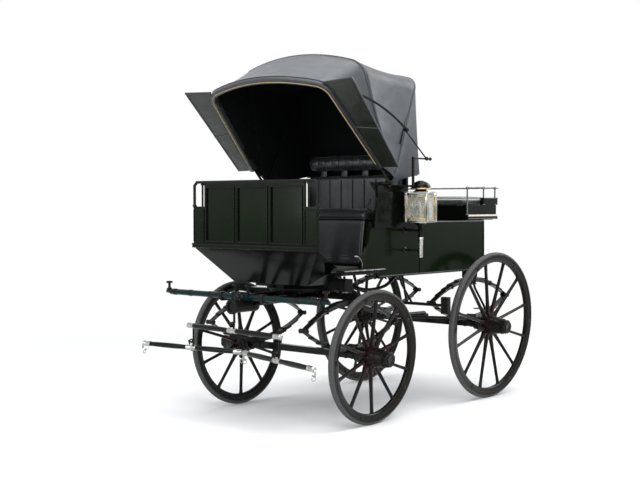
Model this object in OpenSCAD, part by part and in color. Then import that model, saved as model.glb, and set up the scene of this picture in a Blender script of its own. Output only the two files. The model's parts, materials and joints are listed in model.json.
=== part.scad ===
// Four-wheeled folding-hood carriage (phaeton) for a single horse or a team.
// Millimetres. X points forward, Y to the vehicle's left, Z up. Every module is drawn
// with the front axle at X = 0, and place() then moves it so that the whole is centred.

/* [Overall] */
// Distance from the centre of the carriage to the front axle
front_axle_x = 550; // [450:5:700]
// Distance between the axles
wheelbase = 1425; // [1250:5:1800]
// Distance from the centre line to each wheel's middle, at hub height
wheel_y = 635; // [600:5:760]

/* [Wheels] */
// Radius of a front wheel over its tyre
front_wheel_r = 450; // [380:5:480]
// Radius of a rear wheel over its tyre
rear_wheel_r = 550; // [460:5:620]
// Lean of the wheels, tops outward
camber = 2.9; // [0:0.1:5]
// Width of the rubber tyre
tyre_w = 46; // [34:1:60]
// Thickness of the rubber tyre
tyre_t = 24; // [16:1:32]
// Radial depth of the wooden rim
rim_d = 50; // [36:1:64]
// Width of the wooden rim
rim_w = 40; // [30:1:50]
// How far the spoke roots sit inboard of the rim
dish = 26; // [10:1:40]
// Radius of the hub barrel
hub_r = 72; // [55:1:85]
// Radius of the axle arm inside the hub
arm_r = 24; // [18:1:28]

/* [Undercarriage] */
// Width and depth of the axle beams
beam = 44; // [36:1:56]
// Distance from the centre line to each spring
spring_y = 434; // [380:2:470]
// Width of a spring's leaves
spring_w = 45; // [35:1:55]
// Thickness of one spring leaf
leaf_t = 7; // [5:0.5:9]
// Number of leaves in half a spring
leaves = 5; // [3:1:6]
// Half length of a front spring between its eyes
front_spring_l = 470; // [380:5:520]
// Half length of a rear spring between its eyes
rear_spring_l = 500; // [400:5:560]
// Height of half a front spring
front_spring_h = 140; // [110:5:170]
// Height of half a rear spring
rear_spring_h = 130; // [100:5:160]
// Outer radius of the fifth-wheel rings
ring_r = 250; // [200:5:300]
// Radius of the king pin
king_r = 14; // [10:1:20]
// Height of the lower turntable timber
bed_h = 44; // [36:1:60]
// Thickness of each fifth-wheel ring
ring_t = 12; // [8:1:16]

/* [Draught gear] */
// Distance of the splinter bar ahead of the front axle
splinter_x = 594; // [520:2:640]
// Half length of the splinter bar
splinter_l = 700; // [560:5:720]
// Radius of the splinter bar
splinter_r = 20; // [15:1:25]
// Radius of the bore that takes a pole
pole_bore_r = 32; // [25:1:38]
// Depth of the bore that takes a pole
pole_bore_l = 200; // [120:5:240]
// Height of the main lead bar
main_bar_z = 636; // [600:2:660]
// Half length of the main lead bar between its hooks
main_bar_l = 451; // [380:5:470]
// Height of the single lead bars
single_bar_z = 485; // [450:2:520]
// Half length of a single lead bar
single_bar_l = 405; // [340:5:415]
// Radius of the lead bars
bar_r = 15; // [12:1:18]

/* [Body] */
// Half width of the body over its sides
body_w = 478; // [430:2:520]
// Thickness of the body's panels
wall = 22; // [16:1:30]
// Underside of the body's sides
body_z = 957; // [940:1:1000]
// Top of the body's sides
side_z = 1340; // [1290:5:1400]
// Back of the body, behind the front axle
body_rear = 1554; // [1450:2:1650]
// Top of the floor boards
floor_z = 1031; // [1010:1:1060]
// Front of the driver's seat, behind the front axle
seat_front = 150; // [100:5:200]
// Depth of the driver's seat
seat_d = 440; // [380:5:470]
// Top of the seat board
seat_z = 1350; // [1310:5:1380]
// Thickness of the seat cushion
cushion_t = 75; // [50:5:100]
// Top of the seat's back board
back_z = 1672; // [1600:2:1720]

/* [Dash] */
// Front face of the dash, ahead of the front axle
dash_x = 497; // [440:2:540]
// Half width of the dash
dash_w = 574; // [500:2:620]
// Half width of the three middle panels
dash_mid_w = 465; // [400:5:500]
// Underside of the dash
dash_z0 = 1163; // [1120:1:1200]
// Top of the dash rail
dash_z1 = 1626; // [1560:2:1700]
// Top of the low side wings
wing_z = 1447; // [1380:2:1500]

/* [Hood] */
// Pivot of the hood bows, behind the front axle
hood_x = 230; // [180:2:280]
// Height of the pivot of the hood bows
hood_z = 1600; // [1560:2:1640]
// Half width of the hood at its top corners
hood_w = 556; // [500:2:600]
// Half width of the hood at its pivot
hood_foot_w = 596; // [560:2:640]
// Width of the hood's side flaps
flap_w = 140; // [80:5:170]
// Thickness of the hood leather
leather_t = 4; // [3:0.5:6]

/* [Groom's seat] */
// Front of the groom's seat, behind the front axle
groom_front = 1333; // [1280:5:1400]
// Back of the groom's seat, behind the front axle
groom_back = 1745; // [1650:5:1800]
// Top of the groom's cushion
groom_z = 1516; // [1460:2:1560]
// Height of the groom's seat rails
groom_rail_z = 1593; // [1540:2:1650]

/* [Lamps] */
// Distance of the lamps behind the front axle
lamp_x = 541; // [480:2:640]
// Distance of the lamps from the centre line
lamp_y = 618; // [590:2:660]
// Underside of a lamp's glass body
lamp_z = 1340; // [1300:2:1380]
// Width of a lamp's square body
lamp_w = 160; // [110:2:180]
// Height of a lamp's square body
lamp_h = 200; // [150:5:230]

/* [Hidden] */
$fn = 48;

// Free space between pieces that turn against each other
gap = 0.4;
tyre_edge = 10;
hub_in = 84;
hub_out = 112;
front_hub_z = hub_height(front_wheel_r);
rear_hub_z = hub_height(rear_wheel_r);
stack = leaves * leaf_t;
front_eye_z = front_hub_z + beam / 2 + stack + front_spring_h;
rear_eye_z = rear_hub_z + beam / 2 + stack + rear_spring_h;
front_spring_top = front_eye_z + front_spring_h + stack;
rear_spring_top = rear_eye_z + rear_spring_h + stack;
ring_z = front_spring_top + bed_h;
seat_back_x = seat_front + seat_d;
inner_w = body_w - wall;
hook_x = 667;
boot_z = 925;
boot_back = 130;
bow_inset = 9;
iron_in = 19;
panel_gap = 30;
panel_w = (2 * dash_mid_w - 36 - 2 * panel_gap) / 3;
iron_t = 6;
leather_v0 = 60;
void_v0 = -40;
leather_foot = hood_foot_w + 12;
bow_t = 24;
bow_side = 22;
iron_top = 280;
front_angle = 46.8;
middle_angle = 72.3;
rear_angle = 115.8;
front_r = 895;
middle_r = 863;
rear_r = 835;
crown = 62;
corner = 120;
landau_y = 632;
landau_r = 780;
landau_rise = 40;
prop_knuckle = [-331, 1966];
prop_foot = [-575, 1778];
main_yaw = -6;
bar_x = hook_x + 16;

function hub_height(r) = (r - tyre_edge) * cos(camber) + (tyre_w / 2 - tyre_edge) * sin(camber) + tyre_edge;

// Moves a piece from the front axle's frame to the carriage's own frame
module place() {
  translate([front_axle_x, 0, 0]) children();
}

// The piece and its mirror image across the centre line
module both_sides() {
  children();
  mirror([0, 1, 0]) children();
}

// Local Z becomes the wheel's outward axis; side is 1 on the left and -1 on the right
module at_hub(x, z, side) {
  translate([x, side * wheel_y, z]) rotate([-side * (90 + camber), 0, 0]) children();
}

// A round rod between two points
module rod(a, b, r) {
  d = b - a;
  l = norm(d);
  translate(a) rotate([0, acos(d[2] / l), atan2(d[1], d[0])]) cylinder(h = l, r = r);
}

// A chain of round rods with ball joints at its corners
module rail(points, r) {
  for (i = [0:len(points) - 2]) rod(points[i], points[i + 1], r);
  for (p = points) translate(p) sphere(r = r + 0.6);
}

// A vertical board in the XZ plane, from y0 to y0 + t
module board(points, y0, t) {
  translate([0, y0 + t, 0]) rotate([90, 0, 0]) linear_extrude(t) polygon(points);
}

// A plain block between two corners
module block(a, b) {
  translate(a) cube(b - a);
}

// ---------------------------------------------------------------- wheels
module wheel(r, spokes) {
  rim_out = r - tyre_t;
  rim_in = rim_out - rim_d;
  difference() {
    union() {
      rotate_extrude($fn = 96) translate([rim_in, -rim_w / 2]) square([rim_d, rim_w]);
      translate([0, 0, -dish - hub_in]) cylinder(h = hub_in - 40, r1 = hub_r - 18, r2 = hub_r);
      translate([0, 0, -dish - 40]) cylinder(h = 80, r = hub_r);
      translate([0, 0, -dish + 40]) cylinder(h = hub_out - 40, r1 = hub_r, r2 = hub_r - 16);
      translate([0, 0, -dish + hub_out]) cylinder(h = 34, r = hub_r - 22, $fn = 8);
      for (i = [0:spokes - 1])
        rotate([0, 0, (i + 0.5) * 360 / spokes])
          rod([hub_r - 10, 0, -dish], [rim_in + 10, 0, 0], 13);
    }
    translate([0, 0, -dish - hub_in - 1]) cylinder(h = hub_in + hub_out, r = arm_r + gap);
  }
}

module tyre(r) {
  rotate_extrude($fn = 96) {
    translate([r - tyre_t, -tyre_w / 2]) square([tyre_t - tyre_edge, tyre_w]);
    translate([r - tyre_edge, -tyre_w / 2 + tyre_edge]) square([tyre_edge, tyre_w - 2 * tyre_edge]);
    for (s = [-1, 1]) translate([r - tyre_edge, s * (tyre_w / 2 - tyre_edge)]) circle(r = tyre_edge);
  }
}

module front_wheel(side) {
  color([0.03, 0.035, 0.03]) place() at_hub(0, front_hub_z, side) wheel(front_wheel_r, 10);
}

module rear_wheel(side) {
  color([0.03, 0.035, 0.03]) place() at_hub(-wheelbase, rear_hub_z, side) wheel(rear_wheel_r, 12);
}

module front_tyre(side) {
  color([0.1, 0.1, 0.1]) place() at_hub(0, front_hub_z, side) tyre(front_wheel_r);
}

module rear_tyre(side) {
  color([0.1, 0.1, 0.1]) place() at_hub(-wheelbase, rear_hub_z, side) tyre(rear_wheel_r);
}

// ---------------------------------------------------------------- axles and springs
module axle(x, z) {
  half = wheel_y - dish - hub_in - 12;
  translate([x - beam / 2, -half, z - beam / 2]) cube([beam, 2 * half, beam]);
  for (side = [-1, 1]) at_hub(x, z, side) {
    translate([0, 0, -dish - hub_in - 30]) cylinder(h = 30 - gap - 1, r = hub_r - 22);
    translate([0, 0, -dish - hub_in - 30]) cylinder(h = hub_in + hub_out + 20, r = arm_r);
  }
}

// Side outline of half a leaf spring: one smooth edge, and a stepped edge where each leaf ends
function arc_points(r, from, to, n = 20) = [for (i = [0:n]) let (a = from + (to - from) * i / n) [r * sin(a), -r * cos(a)]];

function leaf_steps(r, half_angle) = [
  for (i = [0:leaves - 1]) let (a = half_angle * (1 - i / (leaves + 1)), b = half_angle * (1 - (i + 1) / (leaves + 1)))
    each [[(r + (i + 1) * leaf_t) * sin(a), -(r + (i + 1) * leaf_t) * cos(a)],
      if (i < leaves - 1) [(r + (i + 1) * leaf_t) * sin(b), -(r + (i + 1) * leaf_t) * cos(b)]]
];

function mirrored(points) = [for (i = [len(points) - 1:-1:0]) [-points[i][0], points[i][1]]];

module half_spring(l, h) {
  r = (l * l + h * h) / (2 * h);
  half_angle = asin(l / r);
  steps = leaf_steps(r, half_angle);
  inner = arc_points(r, -half_angle, half_angle);
  last = half_angle / (leaves + 1) * 2;
  bottom = arc_points(r + leaves * leaf_t, last * 0.96, -last * 0.96, 12);
  translate([0, spring_w / 2, r - h]) rotate([90, 0, 0]) linear_extrude(spring_w)
    polygon(concat(inner, steps, bottom, mirrored(steps)));
}

module elliptic_spring(x, y, z, l, h) {
  translate([x, y, z]) {
    half_spring(l, h);
    mirror([0, 0, 1]) half_spring(l, h);
    for (s = [-1, 1]) translate([s * l, spring_w / 2 + 5, 0]) rotate([90, 0, 0]) cylinder(h = spring_w + 10, r = 15);
    for (s = [-1, 1]) translate([-42, -spring_w / 2 - 8, s > 0 ? h - 6 : -h - stack])
      cube([84, spring_w + 16, stack + 6]);
  }
}

module front_axle() {
  color([0.03, 0.03, 0.03]) place() axle(0, front_hub_z);
}

module rear_axle() {
  color([0.03, 0.03, 0.03]) place() axle(-wheelbase, rear_hub_z);
}

module front_springs() {
  color([0.04, 0.04, 0.04]) place() for (s = [-1, 1])
    elliptic_spring(0, s * spring_y, front_eye_z, front_spring_l, front_spring_h);
}

module rear_springs() {
  color([0.04, 0.04, 0.04]) place() for (s = [-1, 1]) {
    elliptic_spring(-wheelbase, s * spring_y, rear_eye_z, rear_spring_l, rear_spring_h);
    block([-wheelbase - 60, s * spring_y - 30, rear_spring_top], [-wheelbase + 60, s * spring_y + 30, body_z]);
  }
}

module perch() {
  color([0.03, 0.04, 0.03]) place() {
    z0 = rear_hub_z + beam / 2;
    perch_z = ring_z + 2 * ring_t + gap + 23;
    rail([[-wheelbase, 0, z0 + 23], [-wheelbase + 420, 0, z0 + 30], [-330, 0, perch_z]], 22);
    rod([-330, 0, perch_z], [-ring_r + 20, 0, perch_z], 22);
    block([-wheelbase - 30, -26, z0], [-wheelbase + 30, 26, z0 + 24]);
    for (s = [-1, 1])
      rod([-wheelbase, s * 330, z0 + 11], [-wheelbase + 520, s * 8, z0 + 44], 10);
  }
}

module brake_gear() {
  color([0.04, 0.04, 0.04]) place() {
    x = -wheelbase + rear_wheel_r + 70;
    z = 738;
    rod([x, -wheel_y - 10, z], [x, wheel_y + 10, z], 11);
    for (s = [-1, 1]) {
      block([x - 34, s * wheel_y - 30, z - 60], [x + 2, s * wheel_y + 30, z + 60]);
      rod([x, s * 300, z], [x + 60, s * 300, body_z + 4], 9);
    }
    rod([x, 240, z], [x + 640, 240, body_z - 60], 8);
    rod([x + 640, 240, body_z - 60], [x + 640, 240, body_z + 4], 9);
  }
}

module rear_footboard() {
  color([0.03, 0.03, 0.03]) place() {
    for (s = [-1, 1]) {
      rail([[-body_rear + 30, s * 360, body_z + 20], [-body_rear - 60, s * 360, 800], [-body_rear - 200, s * 360, 640]], 9);
      block([-body_rear - 290, s * 350 - 52, 632], [-body_rear - 130, s * 350 + 52, 640]);
    }
  }
}

// ---------------------------------------------------------------- turntable
module ring(z) {
  translate([0, 0, z]) difference() {
    cylinder(h = ring_t, r = ring_r, $fn = 96);
    translate([0, 0, -1]) cylinder(h = ring_t + 2, r = ring_r - 40, $fn = 96);
  }
}

module turntable_top() {
  color([0.03, 0.03, 0.03]) place() difference() {
    union() {
      ring(ring_z + ring_t + gap);
      block([-ring_r + 20, -35, ring_z + ring_t + gap], [ring_r - 20, 35, boot_z - 1]);
      block([-ring_r + 20, -35, boot_z - 2], [boot_back - 2, 35, floor_z - wall]);
      block([-40, -300, body_z - 2], [40, 300, floor_z - wall]);
      block([-40, -420, ring_z + ring_t + gap + 0.1], [40, 420, body_z]);
    }
    translate([0, 0, ring_z]) cylinder(h = ring_t + 70, r = king_r + gap);
  }
}

module turntable_bottom() {
  color([0.03, 0.03, 0.03]) place() {
    ring(ring_z);
    block([-40, -470, front_spring_top], [40, 470, ring_z]);
    block([-ring_r + 20, -30, ring_z - 14], [ring_r - 20, 30, ring_z + ring_t]);
    translate([0, 0, front_spring_top - 30]) cylinder(h = bed_h + ring_t + 80, r = king_r);
    translate([0, 0, front_spring_top - 34]) cylinder(h = 30, r = king_r + 10);
  }
}

module futchells() {
  color([0.03, 0.04, 0.03]) place() difference() {
    for (s = [-1, 1]) {
      rail([[-300, s * 120, ring_z - 34], [0, s * 120, ring_z - 34], [splinter_x, s * 190, ring_z - 30]], 19);
      rod([80, s * 136, ring_z - 40], [splinter_x - 60, s * 52, ring_z - 62], 14);
    }
    pole_tube(pole_bore_r + 10);
    splinter_rod(300);
  }
}

module splinter_bar() {
  color([0.02, 0.06, 0.06]) place() {
    splinter_rod(splinter_l);
    for (s = [-1, 1]) rod([splinter_x, s * (splinter_l - 1), ring_z - 12], [splinter_x - 12, s * (splinter_l + 52), ring_z - 12], 13);
    splinter_plate();
  }
}

module roller_bolts() {
  color([0.04, 0.04, 0.04]) place() for (y = [-727, -56, 56, 727]) {
    x = abs(y) > 100 ? splinter_x - 6 : splinter_x;
    top = abs(y) > 100 ? ring_z + 56 : ring_z + 68;
    translate([x, y, ring_z - 12]) cylinder(h = top - ring_z + 12, r = 9);
    translate([x, y, top - 8]) cylinder(h = 10, r = 22);
    translate([x, y, ring_z + 4]) cylinder(h = 6, r = 18);
  }
}

// The pole's own line, open towards the front
module pole_tube(r) {
  translate([hook_x + 30, 0, ring_z - 72]) rotate([0, -90, 0]) cylinder(h = pole_bore_l + 26, r = r);
}

module splinter_rod(l) {
  rod([splinter_x, -l, ring_z - 12], [splinter_x, l, ring_z - 12], splinter_r);
}

module splinter_plate() {
  block([splinter_x + 8, -75, ring_z - 34], [splinter_x + 26, 75, ring_z + 22]);
}

module pole_socket() {
  color([0.04, 0.04, 0.04]) place() difference() {
    union() {
      pole_tube(pole_bore_r + 10);
      translate([hook_x + 30, 0, ring_z - 72]) rotate([0, -90, 0]) cylinder(h = 22, r = pole_bore_r + 17);
      block([splinter_x - 40, -26, ring_z - 46], [splinter_x + 16, 26, ring_z - 24]);
      rail([[hook_x, 0, ring_z - 110], [hook_x, 0, main_bar_z + 52], [hook_x + 16, 0, main_bar_z + 36], [hook_x + 34, 0, main_bar_z + 50]], 8);
    }
    translate([hook_x + 31, 0, ring_z - 72]) rotate([0, -90, 0]) cylinder(h = pole_bore_l + 1, r = pole_bore_r);
    splinter_rod(100);
    splinter_plate();
  }
}

// ---------------------------------------------------------------- body
module body_sides() {
  color([0.02, 0.06, 0.03]) place() for (y0 = [-body_w, inner_w])
    board([
      [-body_rear, body_z + 60], [-body_rear + 18, body_z + 18], [-body_rear + 60, body_z],
      [-seat_front - 90, body_z], [-seat_front - 90, floor_z - wall], [-seat_front + 90, floor_z - wall],
      [-seat_front + 86, floor_z + 40], [-seat_front + 30, floor_z + 140], [-seat_front - 10, side_z],
      [-body_rear, side_z]
    ], y0, wall);
}

module rear_panel() {
  color([0.02, 0.06, 0.03]) place() {
    block([-body_rear, -inner_w, body_z + 62], [-body_rear + wall, inner_w, side_z]);
    block([-body_rear, -inner_w, side_z - wall], [-seat_back_x - wall, inner_w, side_z]);
  }
}

module floor() {
  color([0.05, 0.05, 0.04]) place() {
    block([-body_rear + wall, -inner_w, body_z + 62], [-ring_r - 20, inner_w, body_z + 62 + wall]);
    block([-ring_r - 20, -inner_w, floor_z - wall], [230, inner_w, floor_z]);
  }
}

module boot_panel() {
  color([0.02, 0.03, 0.02]) place() difference() {
    hull() {
      block([dash_x - 30, -dash_w + 8, dash_z0 - 6], [dash_x - 8, dash_w - 8, dash_z0 - 0.5]);
      block([boot_back, -340, boot_z], [330, 340, boot_z + 10]);
      block([boot_back, -inner_w, floor_z - 20], [250, inner_w, floor_z - 6]);
    }
    hull() {
      block([dash_x - 60, -dash_w + 30, dash_z0 - 6], [dash_x - 24, dash_w - 30, dash_z0 + 20]);
      block([230, -320, 950], [320, 320, 960]);
      block([231, -inner_w - 40, floor_z - 6], [250, inner_w + 40, floor_z + 30]);
    }
    block([0, -700, floor_z - wall - 0.5], [230.5, 700, floor_z + 10]);
  }
}

module dash() {
  color([0.03, 0.07, 0.03]) place() {
    difference() {
      block([dash_x - 20, -dash_mid_w, dash_z0], [dash_x, dash_mid_w, dash_z1 - 24]);
      for (i = [-1:1])
        block([dash_x - 8, i * (panel_w + panel_gap) - panel_w / 2, dash_z0 + 46], [dash_x + 1, i * (panel_w + panel_gap) + panel_w / 2, dash_z1 - 48]);
    }
    for (s = [-1, 1]) block([dash_x - 20, s > 0 ? dash_mid_w : -dash_w, dash_z0], [dash_x, s > 0 ? dash_w : -dash_mid_w, wing_z]);
    block([dash_x - 24, -dash_w - 4, dash_z0], [dash_x + 10, dash_w + 4, dash_z0 + 22]);
  }
}

module dash_rails() {
  color([0.03, 0.03, 0.03]) place() {
    z = dash_z1 - 12;
    rail([[dash_x - 10, -dash_w, wing_z - 4], [dash_x - 10, -dash_w, z - 24], [dash_x - 10, -dash_w + 24, z],
      [dash_x - 10, dash_w - 24, z], [dash_x - 10, dash_w, z - 24], [dash_x - 10, dash_w, wing_z - 4]], 10);
    for (s = [-1, 1]) rod([dash_x - 10, s * (dash_mid_w + 28), wing_z - 4], [dash_x - 10, s * (dash_mid_w + 28), z], 7);
  }
}

module seat_box() {
  color([0.02, 0.02, 0.02]) place() {
    board([[-seat_front, seat_z - wall], [-seat_front - 20, seat_z - wall], [-seat_front + 20, floor_z], [-seat_front + 40, floor_z]],
      -inner_w, 2 * inner_w);
    block([-seat_back_x, -inner_w, seat_z - wall], [-seat_front, inner_w, seat_z]);
    block([-seat_back_x - wall, -inner_w, body_z + 84], [-seat_back_x, inner_w, back_z]);
  }
}

module seat_cushion() {
  color([0.03, 0.03, 0.03]) place()
    block([-seat_back_x + 70, -inner_w + 20, seat_z], [-seat_front + 12, inner_w - 20, seat_z + cushion_t]);
}

module seat_back() {
  color([0.03, 0.03, 0.03]) place() {
    block([-seat_back_x, -inner_w + 20, seat_z + 6], [-seat_back_x + 66, inner_w - 20, back_z]);
    translate([-seat_back_x + 40, inner_w - 60, back_z + 90]) rotate([90, 0, 0]) cylinder(h = 2 * inner_w - 120, r = 56);
    block([-seat_back_x + 4, -inner_w + 70, back_z], [-seat_back_x + 30, inner_w - 70, back_z + 90]);
  }
}

module seat_sides() {
  color([0.02, 0.04, 0.03]) place() for (y0 = [-body_w - 26, body_w + 4])
    board([
      [-seat_front - 20, side_z - 40], [-seat_front - 30, side_z + 60], [-seat_front - 60, side_z + 170],
      [-seat_front - 50, hood_z - 6], [-seat_back_x + 60, hood_z - 6], [-seat_back_x - 10, side_z - 40]
    ], y0, wall);
}

module arm_irons() {
  color([0.2, 0.2, 0.2]) place() for (s = [-1, 1]) {
    rail([[-seat_front - 40, s * (body_w + 8), side_z + 60], [-seat_front + 10, s * (body_w - 10), side_z + 96],
      [-seat_front - 14, s * (body_w - 4), side_z + 150]], 8);
    rail([[-seat_front - 66, s * (body_w + 8), hood_z - 60], [-seat_front - 20, s * (body_w - 6), hood_z + 6],
      [-seat_front - 90, s * (body_w + 8), hood_z - 12]], 8);
  }
}

module steps() {
  color([0.03, 0.03, 0.03]) place() for (s = [-1, 1]) {
    block([-seat_front - 90, s > 0 ? body_w + 1 : -body_w - 64, floor_z - 16], [200, s > 0 ? body_w + 64 : -body_w - 1, floor_z - 6]);
    block([-seat_front - 60, s > 0 ? inner_w : -body_w - 40, floor_z - 40], [180, s > 0 ? body_w + 40 : -inner_w, floor_z - wall]);
  }
}

// ---------------------------------------------------------------- groom's seat
module groom_seat_box() {
  color([0.03, 0.04, 0.03]) place() {
    block([-groom_back, -body_w, side_z + 6], [-groom_front, body_w, side_z + 40]);
    block([-groom_back + 20, -body_w + 30, side_z], [-groom_front - 20, body_w - 30, side_z + 6]);
    block([-groom_back + 8, -body_w + 8, side_z + 40], [-groom_front - 8, body_w - 8, groom_z - 60]);
    for (s = [-1, 1]) block([-groom_back, s > 0 ? body_w - 30 : -body_w, groom_z - 60], [-groom_back + 200, s > 0 ? body_w : -body_w + 30, groom_z - 4]);
  }
}

module groom_cushion() {
  color([0.04, 0.04, 0.04]) place()
    block([-groom_back + 12, -body_w + 36, groom_z - 60], [-groom_front - 8, body_w - 36, groom_z]);
}

module groom_rails() {
  color([0.5, 0.5, 0.5]) place() {
    z = groom_rail_z - 6;
    rail([[-groom_front, -body_w + 6, z], [-groom_back - 10, -body_w + 6, z], [-groom_back - 10, body_w - 6, z], [-groom_front, body_w - 6, z]], 6);
    for (x = [-groom_back + 30, -groom_back + 190]) for (s = [-1, 1])
      rod([x, s * (body_w - 6), groom_z - 62], [x, s * (body_w - 6), z], 6);
    for (s = [-1, 1]) rod([-groom_front, s * (body_w - 6), side_z + 38], [-groom_front, s * (body_w - 6), z], 6);
  }
}

// ---------------------------------------------------------------- lamps
module at_lamp(side) {
  translate([-lamp_x, side * lamp_y, lamp_z]) rotate([0, 0, side * 15]) children();
}

module lamps() {
  color([0.6, 0.58, 0.5]) place() for (side = [-1, 1]) {
    at_lamp(side) {
      difference() {
        translate([-lamp_w / 2, -lamp_w / 2, 0]) cube([lamp_w, lamp_w, lamp_h]);
        translate([-lamp_w / 2 + 8, -lamp_w / 2 + 8, 12]) cube([lamp_w - 16, lamp_w - 16, lamp_h - 24]);
        translate([-lamp_w, -lamp_w / 2 + 16, 18]) cube([2 * lamp_w, lamp_w - 32, lamp_h - 36]);
        translate([-lamp_w / 2 + 16, -lamp_w, 18]) cube([lamp_w - 32, 2 * lamp_w, lamp_h - 36]);
      }
      translate([0, 0, lamp_h]) cylinder(h = 30, r = 36);
      translate([0, 0, lamp_h + 30]) cylinder(h = 10, r = 68);
      translate([0, 0, lamp_h + 40]) cylinder(h = 46, r1 = 70, r2 = 16);
      translate([0, 0, -26]) cylinder(h = 26, r1 = 26, r2 = 44);
      translate([0, 0, -250]) cylinder(h = 226, r = 17);
      translate([0, 0, 12]) cylinder(h = 60, r = 12);
    }
    rod([-lamp_x, side * body_w, lamp_z - 60], [-lamp_x, side * lamp_y, lamp_z - 60], 10);
    rod([-lamp_x, side * body_w, lamp_z - 200], [-lamp_x, side * lamp_y, lamp_z - 200], 8);
  }
}

module lamp_glass() {
  color([0.8, 0.85, 0.8, 0.35]) place() for (side = [-1, 1]) at_lamp(side)
    for (a = [0, 90, 180, 270]) rotate([0, 0, a])
      translate([lamp_w / 2 - 7, -lamp_w / 2 + 16, 18]) cube([4, lamp_w - 32, lamp_h - 36]);
}

// ---------------------------------------------------------------- hood

// Puts a flat shape, X across and Y away from the pivot, in a bow's plane
module at_bow(angle) {
  translate([-hood_x, 0, hood_z]) rotate([0, 90 - angle, 0]) rotate([90, 0, 90]) children();
}

// Right half of an arch from its foot to the crown, then the left half
function half_arch(foot, top, r, v0, e) = concat(
  [[foot + e, v0]],
  [for (i = [0:6]) let (a = i * 13) [top - corner + (corner + e) * cos(a), r - corner + (corner + e) * sin(a)]],
  [for (i = [1:6]) let (t = i / 6) [(top - corner + (corner + e) * cos(78)) * (1 - t), r - corner + (corner + e) * sin(78) + (crown + 3) * (1 - (1 - t) * (1 - t))]]
);

function arch(foot, top, r, v0, e) = let (h = half_arch(foot, top, r, v0, e))
  concat(h, [for (i = [len(h) - 2:-1:0]) [-h[i][0], h[i][1]]]);

// Half the leather's width at distance v from the pivot line, on its straight side
function leather_edge(foot, r, v) = foot - (v - leather_v0) / (r - corner - leather_v0) * (foot - hood_w);

module bow(foot, top, r, back = bow_t / 2) {
  leg_v = iron_top - 20;
  leg = leather_edge(leather_foot, r, leg_v);
  translate([0, 0, -back]) linear_extrude(bow_t) difference() {
    polygon(arch(leg, top, r, leg_v, -bow_inset));
    polygon(arch(leg, top, r, leg_v - 2, -bow_inset - bow_side));
  }
  for (s = [0, 1]) mirror([s, 0, 0]) {
    y0 = min(foot - iron_in - iron_t, leg - bow_inset - bow_side);
    y1 = max(foot - iron_in, leg - bow_inset);
    translate([y0, leg_v - 4, -9]) cube([y1 - y0, 22, 18]);
    translate([foot - iron_in - iron_t, 0, 0]) difference() {
      union() {
        translate([0, 0, -9]) cube([iron_t, iron_top, 18]);
        rotate([0, 90, 0]) cylinder(h = iron_t, r = 22);
      }
      translate([-1, 0, 0]) rotate([0, 90, 0]) cylinder(h = iron_t + 2, r = 10 + gap);
    }
  }
}

module leather(foot, angles, radii) {
  difference() {
    hull() for (i = [0, 1]) at_bow(angles[i]) translate([0, 0, i - 0.7]) linear_extrude(0.4)
      polygon(arch(foot, hood_w, radii[i], leather_v0, leather_t + gap));
    hull() for (i = [0, 1]) at_bow(angles[i]) linear_extrude(0.8, center = true)
      polygon(arch(leather_edge(foot, radii[i], void_v0), hood_w, radii[i], void_v0, gap));
  }
}

module front_bow() {
  color([0.03, 0.03, 0.03]) place() at_bow(front_angle) {
    bow(leather_foot, hood_w, front_r);
    for (s = [-1, 1]) translate([0, landau_r, -bow_t / 2 - 10]) rotate([0, s * 90, 0]) translate([0, 0, hood_w - 10]) cylinder(h = landau_y - hood_w + 10, r = 9);
    for (s = [-1, 1]) translate([s * (hood_w - 6) - 6, landau_r - 12, -bow_t / 2 - 20]) cube([12, 24, 30]);
  }
}

module middle_bow() {
  color([0.03, 0.03, 0.03]) place() at_bow(middle_angle) bow(hood_foot_w, hood_w, middle_r);
}

module rear_bow() {
  color([0.03, 0.03, 0.03]) place() at_bow(rear_angle) bow(hood_foot_w - 12, hood_w, rear_r, 0);
}

module hood_front_leather() {
  color([0.12, 0.14, 0.16]) place() difference() {
    leather(leather_foot, [front_angle, middle_angle], [front_r, middle_r]);
    at_bow(front_angle) for (s = [-1, 1]) translate([s * hood_w - 40, landau_r - 14, -bow_t / 2 - 22]) cube([80, 28, 34]);
  }
}

module hood_rear_leather() {
  color([0.12, 0.14, 0.16]) place() leather(leather_foot, [middle_angle, rear_angle], [middle_r, rear_r]);
}

module hood_back() {
  foot_r = norm([seat_back_x + wall + 12 - hood_x, back_z - hood_z]);
  foot_angle = 90 + atan2(seat_back_x + wall + 12 - hood_x, back_z - hood_z);
  color([0.12, 0.14, 0.16]) place() difference() {
    hull() {
      at_bow(rear_angle) translate([0, 0, -0.7]) linear_extrude(0.4) polygon(arch(leather_foot, hood_w, rear_r, leather_v0, leather_t + gap));
      at_bow(foot_angle) linear_extrude(0.4, center = true) translate([-hood_w, leather_v0]) square([2 * hood_w, foot_r - leather_v0]);
    }
    hull() {
      at_bow(rear_angle) linear_extrude(0.8, center = true) polygon(arch(leather_foot, hood_w, rear_r, void_v0, gap));
      at_bow(foot_angle + 2) linear_extrude(0.8, center = true) translate([-hood_w + leather_t, void_v0]) square([2 * (hood_w - leather_t), foot_r - void_v0 - leather_t]);
    }
  }
}

module hood_flaps() {
  color([0.03, 0.05, 0.02]) place() at_bow(front_angle) translate([0, 0, 1]) linear_extrude(bow_t / 2 - 1) difference() {
    for (s = [-1, 1]) polygon([
      [s * (hood_foot_w + 40), 165], [s * (hood_foot_w + 12 + flap_w + 24), 160], [s * (hood_w + flap_w + 74), front_r + 4],
      [s * (hood_w - 10), front_r + 10], [s * (hood_w - 10), front_r - 160]
    ]);
    polygon(arch(leather_foot, hood_w, front_r, 100, 0));
  }
}

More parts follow.
